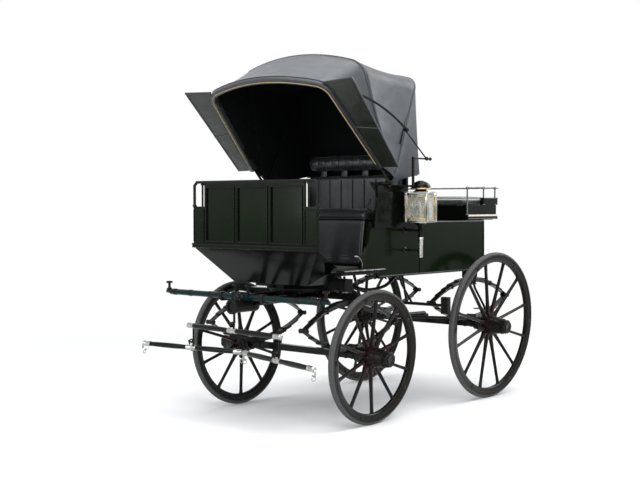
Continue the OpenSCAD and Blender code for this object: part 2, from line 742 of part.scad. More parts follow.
// Fixed irons at each end of the driver's seat: bow pivots and the rests for the folded hood
module hood_irons() {
  color([0.1, 0.1, 0.1]) place() for (s = [-1, 1]) {
    rod([-hood_x, s * (body_w + 26), hood_z], [-hood_x, s * (hood_foot_w + 14), hood_z], 10);
    block([-hood_x - 30, s * (body_w + 16) - 12, hood_z - 6], [-hood_x + 30, s * (body_w + 16) + 12, hood_z + 14]);
    block([-448, s * 568.5 - 64.5, hood_z - 20], [-434, s * 568.5 + 64.5, hood_z - 6]);
    block([-448, s * 626 - 7, hood_z - 19], [-434, s * 626 + 7, 1788]);
    rod([-440, s * 626, 1778], [-640, s * 626, 1778], 6);
    translate([-640, s * 626, 1778]) sphere(r = 12);
    rod([-575, s * 626, 1778], [-575, s * 646, 1778], 5);
  }
}

module landau_lower(side) {
  color([0.15, 0.15, 0.15]) place() {
    y = side * 640;
    difference() {
      union() {
        rod([prop_foot[0], y, prop_foot[1]], [prop_knuckle[0], y, prop_knuckle[1]], 5);
        translate([prop_foot[0], y + 4, prop_foot[1]]) rotate([90, 0, 0]) cylinder(h = 8, r = 12);
        translate([prop_knuckle[0], y + 4, prop_knuckle[1]]) rotate([90, 0, 0]) cylinder(h = 8, r = 12);
      }
      translate([prop_foot[0], y + 10, prop_foot[1]]) rotate([90, 0, 0]) cylinder(h = 20, r = 5 + gap);
    }
    rod([prop_knuckle[0], y, prop_knuckle[1]], [prop_knuckle[0], side * 660, prop_knuckle[1]], 5);
  }
}

module landau_upper(side) {
  tip = [-hood_x + landau_r * cos(front_angle) - 22 * sin(front_angle), hood_z + landau_r * sin(front_angle) + 22 * cos(front_angle)];
  d = tip - prop_knuckle;
  c = norm(d);
  arc_r = (c * c / 4 + landau_rise * landau_rise) / (2 * landau_rise);
  half = asin(c / 2 / arc_r);
  phi = atan2(d[0], -d[1]);
  mid = (tip + prop_knuckle) / 2;
  centre = [mid[0] - (arc_r - landau_rise) * cos(phi), mid[1] - (arc_r - landau_rise) * sin(phi)];
  y = side * 653;
  color([0.15, 0.15, 0.15]) place() difference() {
    union() {
      translate([centre[0], y, centre[1]]) rotate([90, 0, 0]) rotate([0, 0, phi - half])
        rotate_extrude(angle = 2 * half, $fn = 96) translate([arc_r - 6, -4]) square([12, 8]);
      translate([prop_knuckle[0], y + 5, prop_knuckle[1]]) rotate([90, 0, 0]) cylinder(h = 10, r = 14);
      translate([tip[0], y + 5, tip[1]]) rotate([90, 0, 0]) cylinder(h = 10, r = 13);
    }
    translate([prop_knuckle[0], y + 10, prop_knuckle[1]]) rotate([90, 0, 0]) cylinder(h = 20, r = 5 + gap);
  }
}

// ---------------------------------------------------------------- lead bars

module bar_eye(z) {
  translate([0, 0, z]) rotate([0, 90, 0]) rotate_extrude() translate([20, 0]) circle(r = 5, $fn = 24);
}

module drop_hook(z0, z1) {
  rail([[-16, 0, z0], [-16, 0, z1 + 16], [0, 0, z1], [22, 0, z1 + 12]], 6);
}

module bar(l) {
  rod([0, -l, 0], [0, l, 0], bar_r);
  for (y = [-l, l]) translate([0, y + 30, 0]) rotate([90, 0, 0]) cylinder(h = 60, r = bar_r + 2);
  translate([0, 40, 0]) rotate([90, 0, 0]) cylinder(h = 80, r = bar_r + 2);
  translate([0, 0, -bar_r - 6]) cylinder(h = 2 * bar_r + 12, r = 7);
}

module main_bar() {
  color([0.03, 0.03, 0.03]) place() translate([bar_x, 0, main_bar_z]) rotate([0, 0, main_yaw]) {
    bar(main_bar_l);
    bar_eye(36);
    for (s = [-1, 1]) translate([0, s * main_bar_l, 0]) drop_hook(0, single_bar_z + 36 - main_bar_z);
    for (s = [-1, 1]) rod([-16, s * main_bar_l, 0], [0, s * main_bar_l, 0], 6);
  }
}

module single_bar(side, yaw) {
  color([0.03, 0.03, 0.03]) place() translate([bar_x, 0, single_bar_z]) rotate([0, 0, main_yaw])
    translate([0, side * main_bar_l, 0]) rotate([0, 0, yaw - main_yaw]) {
      bar(single_bar_l);
      bar_eye(36);
      for (s = [-1, 1]) rail([[0, s * (single_bar_l + 26), 0], [0, s * (single_bar_l + 44), -8], [0, s * (single_bar_l + 44), -40], [0, s * (single_bar_l + 24), -46]], 4);
    }
}

body_sides();
rear_panel();
floor();
boot_panel();
dash();
dash_rails();
seat_box();
seat_cushion();
seat_back();
seat_sides();
arm_irons();
groom_seat_box();
groom_cushion();
groom_rails();
steps();
lamps();
lamp_glass();
rear_springs();
rear_axle();
perch();
brake_gear();
rear_footboard();
turntable_top();
hood_irons();
turntable_bottom();
front_springs();
front_axle();
futchells();
splinter_bar();
roller_bolts();
pole_socket();
front_wheel(1);  // wheel_front_left
front_tyre(1);  // tyre_front_left
front_wheel(-1);  // wheel_front_right
front_tyre(-1);  // tyre_front_right
rear_wheel(1);  // wheel_rear_left
rear_tyre(1);  // tyre_rear_left
rear_wheel(-1);  // wheel_rear_right
rear_tyre(-1);  // tyre_rear_right
rear_bow();
hood_back();
middle_bow();
hood_rear_leather();
front_bow();
hood_front_leather();
hood_flaps();
landau_lower(1);  // landau_lower_left
landau_upper(1);  // landau_upper_left
landau_lower(-1);  // landau_lower_right
landau_upper(-1);  // landau_upper_right
main_bar();
single_bar(1, -17);  // single_bar_left
single_bar(-1, 7);  // single_bar_right
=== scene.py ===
import json
import math

import bmesh
import bpy
from mathutils import Matrix, Vector
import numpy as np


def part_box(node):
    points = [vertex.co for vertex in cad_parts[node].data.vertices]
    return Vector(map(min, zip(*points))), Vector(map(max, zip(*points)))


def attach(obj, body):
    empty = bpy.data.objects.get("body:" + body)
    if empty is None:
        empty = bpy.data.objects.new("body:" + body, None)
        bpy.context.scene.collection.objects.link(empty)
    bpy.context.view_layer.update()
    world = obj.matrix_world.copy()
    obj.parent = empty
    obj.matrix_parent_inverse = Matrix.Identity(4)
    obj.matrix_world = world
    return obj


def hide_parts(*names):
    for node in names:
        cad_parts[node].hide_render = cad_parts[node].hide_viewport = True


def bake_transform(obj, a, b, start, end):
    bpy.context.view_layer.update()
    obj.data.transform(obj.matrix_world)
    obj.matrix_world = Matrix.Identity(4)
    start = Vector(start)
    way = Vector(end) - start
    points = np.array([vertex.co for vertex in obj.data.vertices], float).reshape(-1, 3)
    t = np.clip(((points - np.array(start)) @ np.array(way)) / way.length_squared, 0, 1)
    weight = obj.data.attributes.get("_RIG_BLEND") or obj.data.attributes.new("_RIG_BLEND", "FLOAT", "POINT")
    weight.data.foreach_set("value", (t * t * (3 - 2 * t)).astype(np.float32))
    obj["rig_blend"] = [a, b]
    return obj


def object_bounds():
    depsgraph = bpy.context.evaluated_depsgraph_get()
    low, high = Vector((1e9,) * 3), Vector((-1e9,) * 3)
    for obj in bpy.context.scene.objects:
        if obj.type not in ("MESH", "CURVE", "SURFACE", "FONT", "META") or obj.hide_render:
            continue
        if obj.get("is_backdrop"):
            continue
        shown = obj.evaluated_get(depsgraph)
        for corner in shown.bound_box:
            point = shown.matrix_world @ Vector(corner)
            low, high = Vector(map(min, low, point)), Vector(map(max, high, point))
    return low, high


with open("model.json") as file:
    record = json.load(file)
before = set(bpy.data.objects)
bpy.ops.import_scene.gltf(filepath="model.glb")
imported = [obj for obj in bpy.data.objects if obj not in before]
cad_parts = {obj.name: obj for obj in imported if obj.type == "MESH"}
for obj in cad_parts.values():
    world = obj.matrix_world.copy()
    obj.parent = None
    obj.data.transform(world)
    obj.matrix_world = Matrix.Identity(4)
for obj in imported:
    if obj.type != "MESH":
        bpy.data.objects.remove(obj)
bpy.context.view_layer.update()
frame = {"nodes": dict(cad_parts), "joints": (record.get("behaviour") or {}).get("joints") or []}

joints = {j["name"]: j for j in frame["joints"]}
AXLE_X = joints["steer"]["pos_m"][0]
WHEELBASE, BODY_Y, SPRING_Y = 1.425, 0.478, 0.434
FRONT_HUB_Z, REAR_HUB_Z = 0.4501, 0.5500


# ---------------------------------------------------------------- materials
def new_material(name):
    material = bpy.data.materials.new(name)
    material.use_nodes = True
    tree = material.node_tree
    return material, tree, tree.nodes["Principled BSDF"]


def noise(tree, scale, detail=4.0, rough=0.55, stretch=None):
    coord = tree.nodes.new("ShaderNodeTexCoord")
    node = tree.nodes.new("ShaderNodeTexNoise")
    node.inputs["Scale"].default_value = scale
    node.inputs["Detail"].default_value = detail
    node.inputs["Roughness"].default_value = rough
    source = coord.outputs["Object"]
    if stretch:
        mapping = tree.nodes.new("ShaderNodeMapping")
        mapping.inputs["Scale"].default_value = stretch
        tree.links.new(source, mapping.inputs["Vector"])
        source = mapping.outputs["Vector"]
    tree.links.new(source, node.inputs["Vector"])
    return node


def remap(tree, source, low, high, start=0.35, end=0.65):
    node = tree.nodes.new("ShaderNodeMapRange")
    node.inputs["From Min"].default_value = start
    node.inputs["From Max"].default_value = end
    node.inputs["To Min"].default_value = low
    node.inputs["To Max"].default_value = high
    tree.links.new(source, node.inputs["Value"])
    return node.outputs["Result"]


def mix_color(tree, factor, a, b):
    node = tree.nodes.new("ShaderNodeMix")
    node.data_type = "RGBA"
    tree.links.new(factor, node.inputs["Factor"])
    for socket, value in ((node.inputs["A"], a), (node.inputs["B"], b)):
        if isinstance(value, tuple):
            socket.default_value = (*value, 1.0)
        else:
            tree.links.new(value, socket)
    return node.outputs["Result"]


def add_bump(tree, shader, heights, distance):
    previous = None
    for height, strength in heights:
        bump = tree.nodes.new("ShaderNodeBump")
        bump.inputs["Strength"].default_value = strength
        bump.inputs["Distance"].default_value = distance
        tree.links.new(height, bump.inputs["Height"])
        if previous:
            tree.links.new(previous, bump.inputs["Normal"])
        previous = bump.outputs["Normal"]
    tree.links.new(previous, shader.inputs["Normal"])


def edge_mask(tree, start=0.56, end=0.70):
    geometry = tree.nodes.new("ShaderNodeNewGeometry")
    return remap(tree, geometry.outputs["Pointiness"], 0.0, 1.0, start, end)


def coach_paint(name, base, shade, edge, rough=(0.10, 0.2), coat=0.08, specular=0.10):
    """Deep glossy coach paint: faint orange peel, cloudy tone and thin worn edges."""
    material, tree, shader = new_material(name)
    cloud = noise(tree, 3.5, 5.0)
    tone = mix_color(tree, remap(tree, cloud.outputs["Fac"], 0.0, 1.0), base, shade)
    grit = noise(tree, 60.0, 6.0, 0.7)
    worn = tree.nodes.new("ShaderNodeMath")
    worn.operation = "MULTIPLY"
    tree.links.new(edge_mask(tree), worn.inputs[0])
    tree.links.new(remap(tree, grit.outputs["Fac"], 0.0, 1.0, 0.4, 0.7), worn.inputs[1])
    tree.links.new(mix_color(tree, worn.outputs[0], tone, edge), shader.inputs["Base Color"])
    tree.links.new(remap(tree, cloud.outputs["Fac"], rough[0], rough[1]), shader.inputs["Roughness"])
    shader.inputs["Specular IOR Level"].default_value = specular
    shader.inputs["Coat Weight"].default_value = coat
    shader.inputs["Coat Roughness"].default_value = 0.05
    shader.inputs["Coat IOR"].default_value = 1.4
    peel = noise(tree, 240.0, 2.0)
    wave = noise(tree, 9.0, 2.0)
    add_bump(tree, shader, [(peel.outputs["Fac"], 0.05), (wave.outputs["Fac"], 0.08)], 0.004)
    return material


def leather(name, base, shade, grain=420.0, rough=(0.32, 0.5), crease=0.25, sheen=0.15):
    """Grained leather: cell grain, soft creases, and polish that varies over the hide."""
    material, tree, shader = new_material(name)
    cloud = noise(tree, 5.0, 6.0)
    fold = noise(tree, 16.0, 5.0, 0.6, (1.0, 0.5, 1.4))
    cells = tree.nodes.new("ShaderNodeTexVoronoi")
    cells.feature = "DISTANCE_TO_EDGE"
    cells.inputs["Scale"].default_value = grain
    coord = tree.nodes.new("ShaderNodeTexCoord")
    tree.links.new(coord.outputs["Object"], cells.inputs["Vector"])
    tree.links.new(
        mix_color(
            tree, remap(tree, cloud.outputs["Fac"], 0.0, 1.0), base, shade,
        ), shader.inputs["Base Color"]
    )
    tree.links.new(remap(tree, fold.outputs["Fac"], rough[0], rough[1]), shader.inputs["Roughness"])
    shader.inputs["Sheen Weight"].default_value = sheen
    shader.inputs["Sheen Roughness"].default_value = 0.4
    shader.inputs["Specular IOR Level"].default_value = 0.5
    grain_height = remap(tree, cells.outputs["Distance"], 0.0, 1.0, 0.0, 0.25)
    add_bump(tree, shader, [(grain_height, 0.12), (fold.outputs["Fac"], crease)], 0.004)
    return material


def metal(name, base, shade, rough=(0.12, 0.3), scratches=0.08, metallic=1.0):
    material, tree, shader = new_material(name)
    cloud = noise(tree, 30.0, 6.0)
    tree.links.new(
        mix_color(tree, remap(tree, cloud.outputs["Fac"], 0.0, 1.0, 0.4, 0.65), base, shade),
        shader.inputs["Base Color"],
    )
    shader.inputs["Metallic"].default_value = metallic
    tree.links.new(remap(tree, cloud.outputs["Fac"], rough[0], rough[1]), shader.inputs["Roughness"])
    fine = noise(tree, 300.0, 4.0, 0.6, (1.0, 1.0, 0.15))
    add_bump(tree, shader, [(fine.outputs["Fac"], scratches)], 0.001)
    return material


def plain(name, base, shade, rough, scale=120.0, bump=0.2, distance=0.002, specular=0.4):
    material, tree, shader = new_material(name)
    cloud = noise(tree, scale, 6.0, 0.65)
    tree.links.new(
        mix_color(
            tree, remap(tree, cloud.outputs["Fac"], 0.0, 1.0), base, shade,
        ), shader.inputs["Base Color"]
    )
    tree.links.new(
        remap(tree, cloud.outputs["Fac"], rough, min(1.0, rough + 0.15)), shader.inputs["Roughness"],
    )
    shader.inputs["Specular IOR Level"].default_value = specular
    add_bump(tree, shader, [(cloud.outputs["Fac"], bump)], distance)
    return material


def clear_glass(name):
    material, tree, shader = new_material(name)
    smear = noise(tree, 25.0, 4.0)
    tree.links.new(
        mix_color(tree, remap(tree, smear.outputs["Fac"], 0.0, 1.0), (0.95, 0.96, 0.9), (0.85, 0.88, 0.8)),
        shader.inputs["Base Color"],
    )
    tree.links.new(remap(tree, smear.outputs["Fac"], 0.02, 0.08), shader.inputs["Roughness"])
    shader.inputs["Transmission Weight"].default_value = 0.85
    shader.inputs["IOR"].default_value = 1.45
    return material


GREEN = coach_paint(
    "green_paint", (0.0032, 0.0085, 0.0018), (0.0022, 0.0058, 0.0014), (0.006, 0.011, 0.005),
)
BLACK = coach_paint(
    "black_paint", (0.0026, 0.0034, 0.0026), (0.0018, 0.0024, 0.0018), (0.006, 0.007, 0.006),
)
TEAL = coach_paint("teal_paint", (0.0030, 0.0150, 0.0165), (0.0022, 0.0100, 0.0110), (0.007, 0.020, 0.021))
WHEEL = coach_paint(
    "wheel_paint", (0.0060, 0.0068, 0.0055), (0.0070, 0.0042, 0.0034), (0.014, 0.014, 0.012), (0.12, 0.26),
)
MAROON = coach_paint("maroon_lining", (0.060, 0.006, 0.008), (0.035, 0.004, 0.005), (0.10, 0.03, 0.03))
IRON = coach_paint(
    "iron_paint", (0.0060, 0.0062, 0.0060), (0.0090, 0.0080, 0.0070), (0.014, 0.013, 0.012), (0.20, 0.36),
    0.08,
)
# hood leather: black hide whose base colour is lifted to a blue-grey, which is a painted sky reflection
HOOD_HIDE_PAINTED_SHEEN = leather("hood_hide_painted_sheen", (0.030, 0.038, 0.046), (0.022, 0.028, 0.034), 300.0, (0.38, 0.52), 0.10, 0.12)
HIDE = leather("seat_hide", (0.016, 0.018, 0.019), (0.010, 0.011, 0.012), 420.0, (0.28, 0.45), 0.25, 0.10)
# groom cushion leather: the seat's black hide with a lighter base colour, which is a painted sheen; its
# lower roughness and sheen weight are real gloss
HIDE_PAINTED_SHEEN = leather(
    "hide_painted_sheen", (0.060, 0.064, 0.070), (0.040, 0.044, 0.050), 420.0, (0.22, 0.34), 0.20, 0.2,
)
FLAP = leather(
    "flap_hide", (0.0032, 0.0062, 0.0018), (0.0024, 0.0044, 0.0014), 380.0, (0.34, 0.48), 0.10, 0.0,
)
LINING = plain(
    "hood_lining", (0.0035, 0.0040, 0.0042), (0.0022, 0.0026, 0.0028), 0.85, 200.0, 0.3, 0.002, 0.1,
)
BOARDS = plain("floor_boards", (0.020, 0.019, 0.017), (0.012, 0.012, 0.011), 0.55, 40.0, 0.2)
RUBBER = plain("tyre_rubber", (0.060, 0.060, 0.058), (0.038, 0.038, 0.037), 0.6, 90.0, 0.25, 0.003)
NICKEL = metal("nickel", (0.46, 0.46, 0.44), (0.30, 0.30, 0.28), (0.16, 0.34))
STEEL = metal("bright_steel", (0.20, 0.20, 0.21), (0.11, 0.115, 0.12), (0.25, 0.45))
BRASS = metal("brass", (0.78, 0.58, 0.28), (0.55, 0.40, 0.18), (0.15, 0.35))
GOLD = plain("gold_line", (0.62, 0.45, 0.20), (0.45, 0.31, 0.13), 0.35, 150.0, 0.1, 0.0005)
CREAM = plain("cream_piping", (0.72, 0.68, 0.55), (0.55, 0.52, 0.42), 0.45, 150.0, 0.15, 0.0005)
THREAD = plain("pale_thread", (0.20, 0.20, 0.19), (0.13, 0.13, 0.12), 0.6, 300.0, 0.2, 0.0005)
YELLOW = plain("yellow_enamel", (0.72, 0.55, 0.02), (0.60, 0.44, 0.02), 0.25, 30.0, 0.05, 0.0005)
GLASS = clear_glass("lamp_glass_clear")


# ---------------------------------------------------------------- mesh helpers
def make_mesh(name, points, faces, material, smooth=True, body=None):
    mesh = bpy.data.meshes.new(name)
    mesh.from_pydata([tuple(p) for p in points], [], faces)
    mesh.materials.append(material)
    cleaned = bmesh.new()
    cleaned.from_mesh(mesh)
    bmesh.ops.recalc_face_normals(cleaned, faces=cleaned.faces)
    cleaned.to_mesh(mesh)
    cleaned.free()
    mesh.polygons.foreach_set("use_smooth", [smooth] * len(mesh.polygons))
    piece = bpy.data.objects.new(name, mesh)
    bpy.context.scene.collection.objects.link(piece)
    if body:
        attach(piece, body)
    return piece


def keep_edges(piece, angle=35.0):
    """Smooth shading that stays crisp where faces meet at more than angle degrees."""
    mesh = piece.data
    sharp = bmesh.new()
    sharp.from_mesh(mesh)
    limit = math.radians(angle)
    for edge in sharp.edges:
        edge.smooth = len(edge.link_faces) == 2 and edge.calc_face_angle(0.0) < limit
    sharp.to_mesh(mesh)
    sharp.free()
    return piece


class Shape:
    """Collects several parts into one mesh, so that like details stay one piece."""

    def __init__(self):
        self.points, self.faces = [], []

    def add(self, points, faces):
        base = len(self.points)
        self.points += [Vector(p) for p in points]
        self.faces += [tuple(base + i for i in face) for face in faces]

    def rings(self, rings, closed_ends=True, wrap=False):
        """Joins rings of equal length into a skin."""
        n = len(rings[0])
        points = [p for ring in rings for p in ring]
        faces = []
        count = len(rings)
        for i in range(count if wrap else count - 1):
            for j in range(n):
                a, b = i * n + j, i * n + (j + 1) % n
                c, d = (i + 1) % count * n + (j + 1) % n, (i + 1) % count * n + j
                faces.append((a, b, c, d))
        if closed_ends and not wrap:
            faces.append(tuple(range(n))[::-1])
            faces.append(tuple((count - 1) * n + j for j in range(n)))
        self.add(points, faces)

    def tube(self, path, radius, sides=10, wrap=False, flat=1.0, up=None):
        """A round or oval rod along a path; radius may be one number or one for each point."""
        path = [Vector(p) for p in path]
        count = len(path)
        radii = radius if isinstance(radius, (list, tuple)) else [radius] * count
        rings = []
        normal = None
        for i, p in enumerate(path):
            before = path[i - 1] if i or wrap else p
            after = path[(i + 1) % count] if i < count - 1 or wrap else p
            along = (after - before).normalized()
            if normal is None:
                guess = Vector(up) if up else (
                    Vector((0, 0, 1)) if abs(along.z) < 0.9 else Vector((1, 0, 0))
                )
                normal = (guess - along * guess.dot(along)).normalized()
            else:
                normal = (normal - along * normal.dot(along)).normalized()
            side = along.cross(normal)
            rings.append(
                [
                    p + normal * radii[i] * math.cos(a) + side * radii[i] * flat * math.sin(a)
                    for a in (2 * math.pi * k / sides for k in range(sides))
                ]
            )
        self.rings(rings, wrap=wrap)

    def lathe(self, origin, axis, profile, sides=32, phase=0.0):
        """Turns a profile of (distance along axis, radius) round the axis."""
        axis = Vector(axis).normalized()
        u = axis.orthogonal().normalized()
        w = axis.cross(u)
        origin = Vector(origin)
        rings = [
            [
                origin + axis * d + (u * math.cos(a) + w * math.sin(a)) * max(r, 0.0002)
                for a in (phase + 2 * math.pi * k / sides for k in range(sides))
            ]
            for d, r in profile
        ]
        if profile[0] == profile[-1]:
            self.rings(rings[:-1], wrap=True)
        else:
            self.rings(rings)

    def block(self, low, high, bevel=0.002, frame_matrix=None):
        """A box with chamfered edges."""
        b = bmesh.new()
        bmesh.ops.create_cube(b, size=1.0)
        low, high = Vector(low), Vector(high)
        for v in b.verts:
            v.co = Vector((low[i] + (v.co[i] + 0.5) * (high[i] - low[i]) for i in range(3)))
        bmesh.ops.bevel(b, geom=list(b.edges), offset=bevel, segments=2, affect="EDGES", profile=0.5)
        b.verts.index_update()
        points = [v.co.copy() for v in b.verts]
        if frame_matrix:
            points = [frame_matrix @ p for p in points]
        self.add(points, [[v.index for v in f.verts] for f in b.faces])
        b.free()

    def piece(self, name, material, body, slot=None, smooth=True, angle=35.0):
        made = make_mesh(name, self.points, self.faces, material, smooth, body)
        return keep_edges(made, angle) if smooth else made


def at_axle(x, y, z):
    """A point given from the front axle, in metres."""
    return Vector((AXLE_X + x, y, z))


def both_sides():
    return ((1, "left"), (-1, "right"))


def bezier(points, steps=12):
    """A smooth curve through its points (Catmull-Rom)."""
    pts = [Vector(p) for p in points]
    pts = [pts[0] * 2 - pts[1]] + pts + [pts[-1] * 2 - pts[-2]]
    out = []
    for i in range(1, len(pts) - 2):
        a, b, c, d = pts[i - 1 : i + 3]
        for k in range(steps):
            t = k / steps
            out.append(
                0.5 * (
                    2 * b + (c - a) * t + (
                        2 * a - 5 * b + 4 * c - d
                    ) * t * t + (3 * b - a - 3 * c + d) * t**3
                )
            )
    out.append(pts[-2])
    return out


# ---------------------------------------------------------------- wheels
WHEEL_SIZES = {"front": (0.450, 10), "rear": (0.550, 12)}
TYRE_T, RIM_D, RIM_W, DISH = 0.024, 0.050, 0.040, 0.026
HUB_IN, HUB_OUT, HUB_R = 0.084, 0.136, 0.072


def wheel_matrix(end, side):
    """Wheel frame: X forward, Z outward along the hub, origin in the rim's middle plane."""
    joint = joints[f"roll_{end}_{side}"]
    outward = Vector(joint["axis"]) * (1 if side == "left" else -1)
    forward = Vector((1, 0, 0))
    up = outward.cross(forward)
    matrix = Matrix((forward, up, outward)).transposed().to_4x4()
    matrix.translation = Vector(joint["pos_m"])
    return matrix


def oval(center, across, along, width, depth, power, sides=14):
    """A squared oval ring; across and along are unit vectors."""
    ring = []
    for k in range(sides):
        a = 2 * math.pi * k / sides
        c, s = math.cos(a), math.sin(a)
        x = math.copysign(abs(c) ** power, c) * width / 2
        y = math.copysign(abs(s) ** power, s) * depth / 2
        ring.append(center + across * x + along * y)
    return ring


def add_spoke(shape, matrix, angle, rim_in):
    out = Vector((math.cos(angle), math.sin(angle), 0))
    across = Vector((-math.sin(angle), math.cos(angle), 0))
    face = Vector((0, 0, 1))
    # distance from the hub's centre, width, depth, squareness
    stations = [
        (HUB_R - 0.012, 0.038, 0.034, 0.35),
        (HUB_R + 0.022, 0.036, 0.033, 0.45),
        (HUB_R + 0.050, 0.024, 0.032, 0.85),
        (HUB_R + 0.120, 0.022, 0.029, 1.0),
        (rim_in - 0.060, 0.021, 0.025, 1.0),
        (rim_in - 0.016, 0.024, 0.025, 0.9),
        (rim_in + 0.006, 0.028, 0.026, 0.7),
    ]
    rings = []
    for r, width, depth, power in stations:
        t = (r - HUB_R) / (rim_in - HUB_R)
        ring = oval(out * r + face * (-DISH * (1 - t)), across, face, width, depth, power)
        rings.append([matrix @ p for p in ring])
    shape.rings(rings)


def build_wheel(end, side):
    radius, count = WHEEL_SIZES[end]
    body = f"wheel_{end}_{side}"
    matrix = wheel_matrix(end, side)
    axis = matrix.to_3x3() @ Vector((0, 0, 1))
    centre = matrix.translation
    hub_centre = centre - axis * DISH
    rim_out = radius - TYRE_T
    rim_in = rim_out - RIM_D

    wood = Shape()
    h = RIM_W / 2
    wood.lathe(
        centre,
        axis,
        [(-h, rim_out - 0.001), (-h, rim_in + 0.012), (-h + 0.006, rim_in + 0.003), (-h + 0.013, rim_in),
         (h - 0.013, rim_in), (h - 0.006, rim_in + 0.003), (h, rim_in + 0.012), (h, rim_out - 0.001), (-h,
         rim_out - 0.001)],
        96,
    )
    for k in range(count):
        add_spoke(wood, matrix, (k + 0.5) * 2 * math.pi / count, rim_in)
    hub_profile = [
        (-HUB_IN, 0.030), (-HUB_IN, 0.050), (
            -HUB_IN + 0.004, 0.053,
        ), (-0.052, 0.060), (-0.048, 0.066), (-0.026, HUB_R),
        (0.024, HUB_R), (0.044, 0.069), (0.075, 0.062), (0.100, 0.058), (
            HUB_OUT - 0.002, 0.054,
        ), (HUB_OUT, 0.050), (HUB_OUT, 0.030),
    ]
    wood.lathe(hub_centre, axis, hub_profile, 48)
    rim = wood.piece(f"{body}_wood", WHEEL, body, "wheel_black")
    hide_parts(f"wheel_{end}_{side}")

    bands = Shape()
    for at, r, w in (
        (-0.074, 0.0575, 0.016), (0.034, 0.0725, 0.009), (0.066, 0.0665, 0.010),
        (HUB_OUT - 0.014, 0.0580, 0.014),
    ):
        bands.lathe(
            hub_centre, axis,
            [
                (at - w / 2, r - 0.006), (at - w / 2 + 0.001, r), (at + w / 2 - 0.001, r),
                (at + w / 2, r - 0.006),
            ],
            48,
        )
    for sign in (-1, 1):
        edge = sign * (RIM_W / 2 + 0.0005)
        bands.lathe(centre, axis, [(edge - 0.002, rim_out - 0.004), (edge + 0.002, rim_out - 0.004),
        (edge + 0.003, rim_out + 0.004),
                                   (edge - 0.003, rim_out + 0.004), (edge - 0.002, rim_out - 0.004)], 96)
    bands.piece(f"{body}_bands", IRON, body, "iron_black")

    plates = Shape()
    for k in range(count // 2):
        a = 2 * math.pi * k / (count // 2)
        for sign in (-1, 1):
            turn = matrix @ Matrix.Rotation(a, 4, "Z")
            plates.block(
                (rim_in + 0.012, -0.018, sign * h - 0.0012), (rim_out - 0.008, 0.018, sign * h + 0.0012),
                0.001, turn,
            )
            for y in (-0.010, 0.010):
                plates.lathe(
                    turn @ Vector(((rim_in + rim_out) / 2, y, sign * (h + 0.0008))), axis * sign,
                    [(0, 0.004), (0.0015, 0.0035), (0.0025, 0.0015)], 10,
                )
    plates.piece(f"{body}_plates", WHEEL, body, "wheel_black")

    lines = Shape()
    lines.lathe(
        hub_centre, axis,
        [
            (0.0262, HUB_R - 0.002), (0.0262, HUB_R + 0.0006), (0.0292, HUB_R + 0.0002),
            (0.0292, HUB_R - 0.003),
        ],
        48,
    )
    lines.lathe(
        hub_centre, axis,
        [
            (-0.030, HUB_R - 0.003), (-0.030, HUB_R + 0.0004), (-0.027, HUB_R + 0.0004),
            (-0.027, HUB_R - 0.003),
        ],
        48,
    )
    for k in range(count):
        a = (k + 0.5) * 2 * math.pi / count
        turn = matrix @ Matrix.Rotation(a, 4, "Z")
        for sign in (-1, 1):
            rows = []
            for r, half, depth in (
                (HUB_R + 0.020, 0.0075, 0.0178), (HUB_R + 0.050, 0.0040, 0.0172),
                (HUB_R + 0.130, 0.0012, 0.0154),
            ):
                z = -DISH * (1 - (r - HUB_R) / (rim_in - HUB_R)) + sign * (depth - 0.0012)
                rows.append(
                    [
                        turn @ Vector((r, -half, z)), turn @ Vector((r, 0, z + sign * 0.0016)),
                        turn @ Vector((r, half, z)), turn @ Vector((r, 0, z - sign * 0.004)),
                    ]
                )
            lines.rings(rows)
    lines.piece(f"{body}_lining", MAROON, body, "wheel_black")

    nut = Shape()
    scallops = 8
    rings = []
    for d, r in ((0, 0.050), (0.004, 0.052), (0.026, 0.052), (0.032, 0.047), (0.034, 0.040)):
        ring = []
        for k in range(scallops * 6):
            a = 2 * math.pi * k / (scallops * 6)
            bump = 1.0 - 0.11 * max(0.0, math.cos(scallops * a)) ** 2
            ring.append(
                matrix @ Vector((math.cos(a) * r * bump, math.sin(a) * r * bump, -DISH + HUB_OUT + d))
            )
        rings.append(ring)
    nut.rings(rings)
    nut.piece(f"{body}_nut", IRON, body, "iron_black")
    cap = Shape()
    face = hub_centre + axis * (HUB_OUT + 0.033)
    cap.lathe(face, axis, [(0, 0.034), (0.003, 0.034), (0.0045, 0.030), (0.005, 0.001)], 40)
    cap.piece(f"{body}_cap_disc", YELLOW, body, "lamp_nickel")
    ring = Shape()
    ring.lathe(face, axis, [(0, 0.034), (0, 0.0385), (0.005, 0.0378), (0.006, 0.036), (0.005, 0.034)], 40)
    ring.piece(f"{body}_cap_ring", IRON, body, "iron_black")

    rubber = Shape()
    w = 0.046 / 2
    arc = [
        (math.cos(a) * (w - 0.001), math.sin(a))
        for a in (math.pi * (0.08 + 0.84 * k / 12) for k in range(13))
    ]
    profile = [(-w + 0.002, radius - TYRE_T)] + [(-x, radius - 0.016 + 0.016 * y) for x, y in arc] + [
        (w - 0.002, radius - TYRE_T), (-w + 0.002, radius - TYRE_T),
    ]
    rubber.lathe(centre, axis, profile, 128)
    tyre = rubber.piece(f"{body}_rubber", RUBBER, body, "tyre")
    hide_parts(f"tyre_{end}_{side}")


for wheel_end in WHEEL_SIZES:
    for _, wheel_side in both_sides():
        build_wheel(wheel_end, wheel_side)


# ---------------------------------------------------------------- hood
PIVOT_X, _, PIVOT_Z = joints["hood_fold"]["pos_m"]
FRONT_ANGLE, MIDDLE_ANGLE, REAR_ANGLE = 46.8, 72.3, 115.8
FRONT_R, MIDDLE_R, REAR_R = 0.895, 0.863, 0.835
HOOD_W, FOOT_W, CROWN, CORNER = 0.556, 0.608, 0.062, 0.120
LINING_OFFSET, SKIN_OFFSET, SKIN_T = -0.026, 0.004, 0.0035


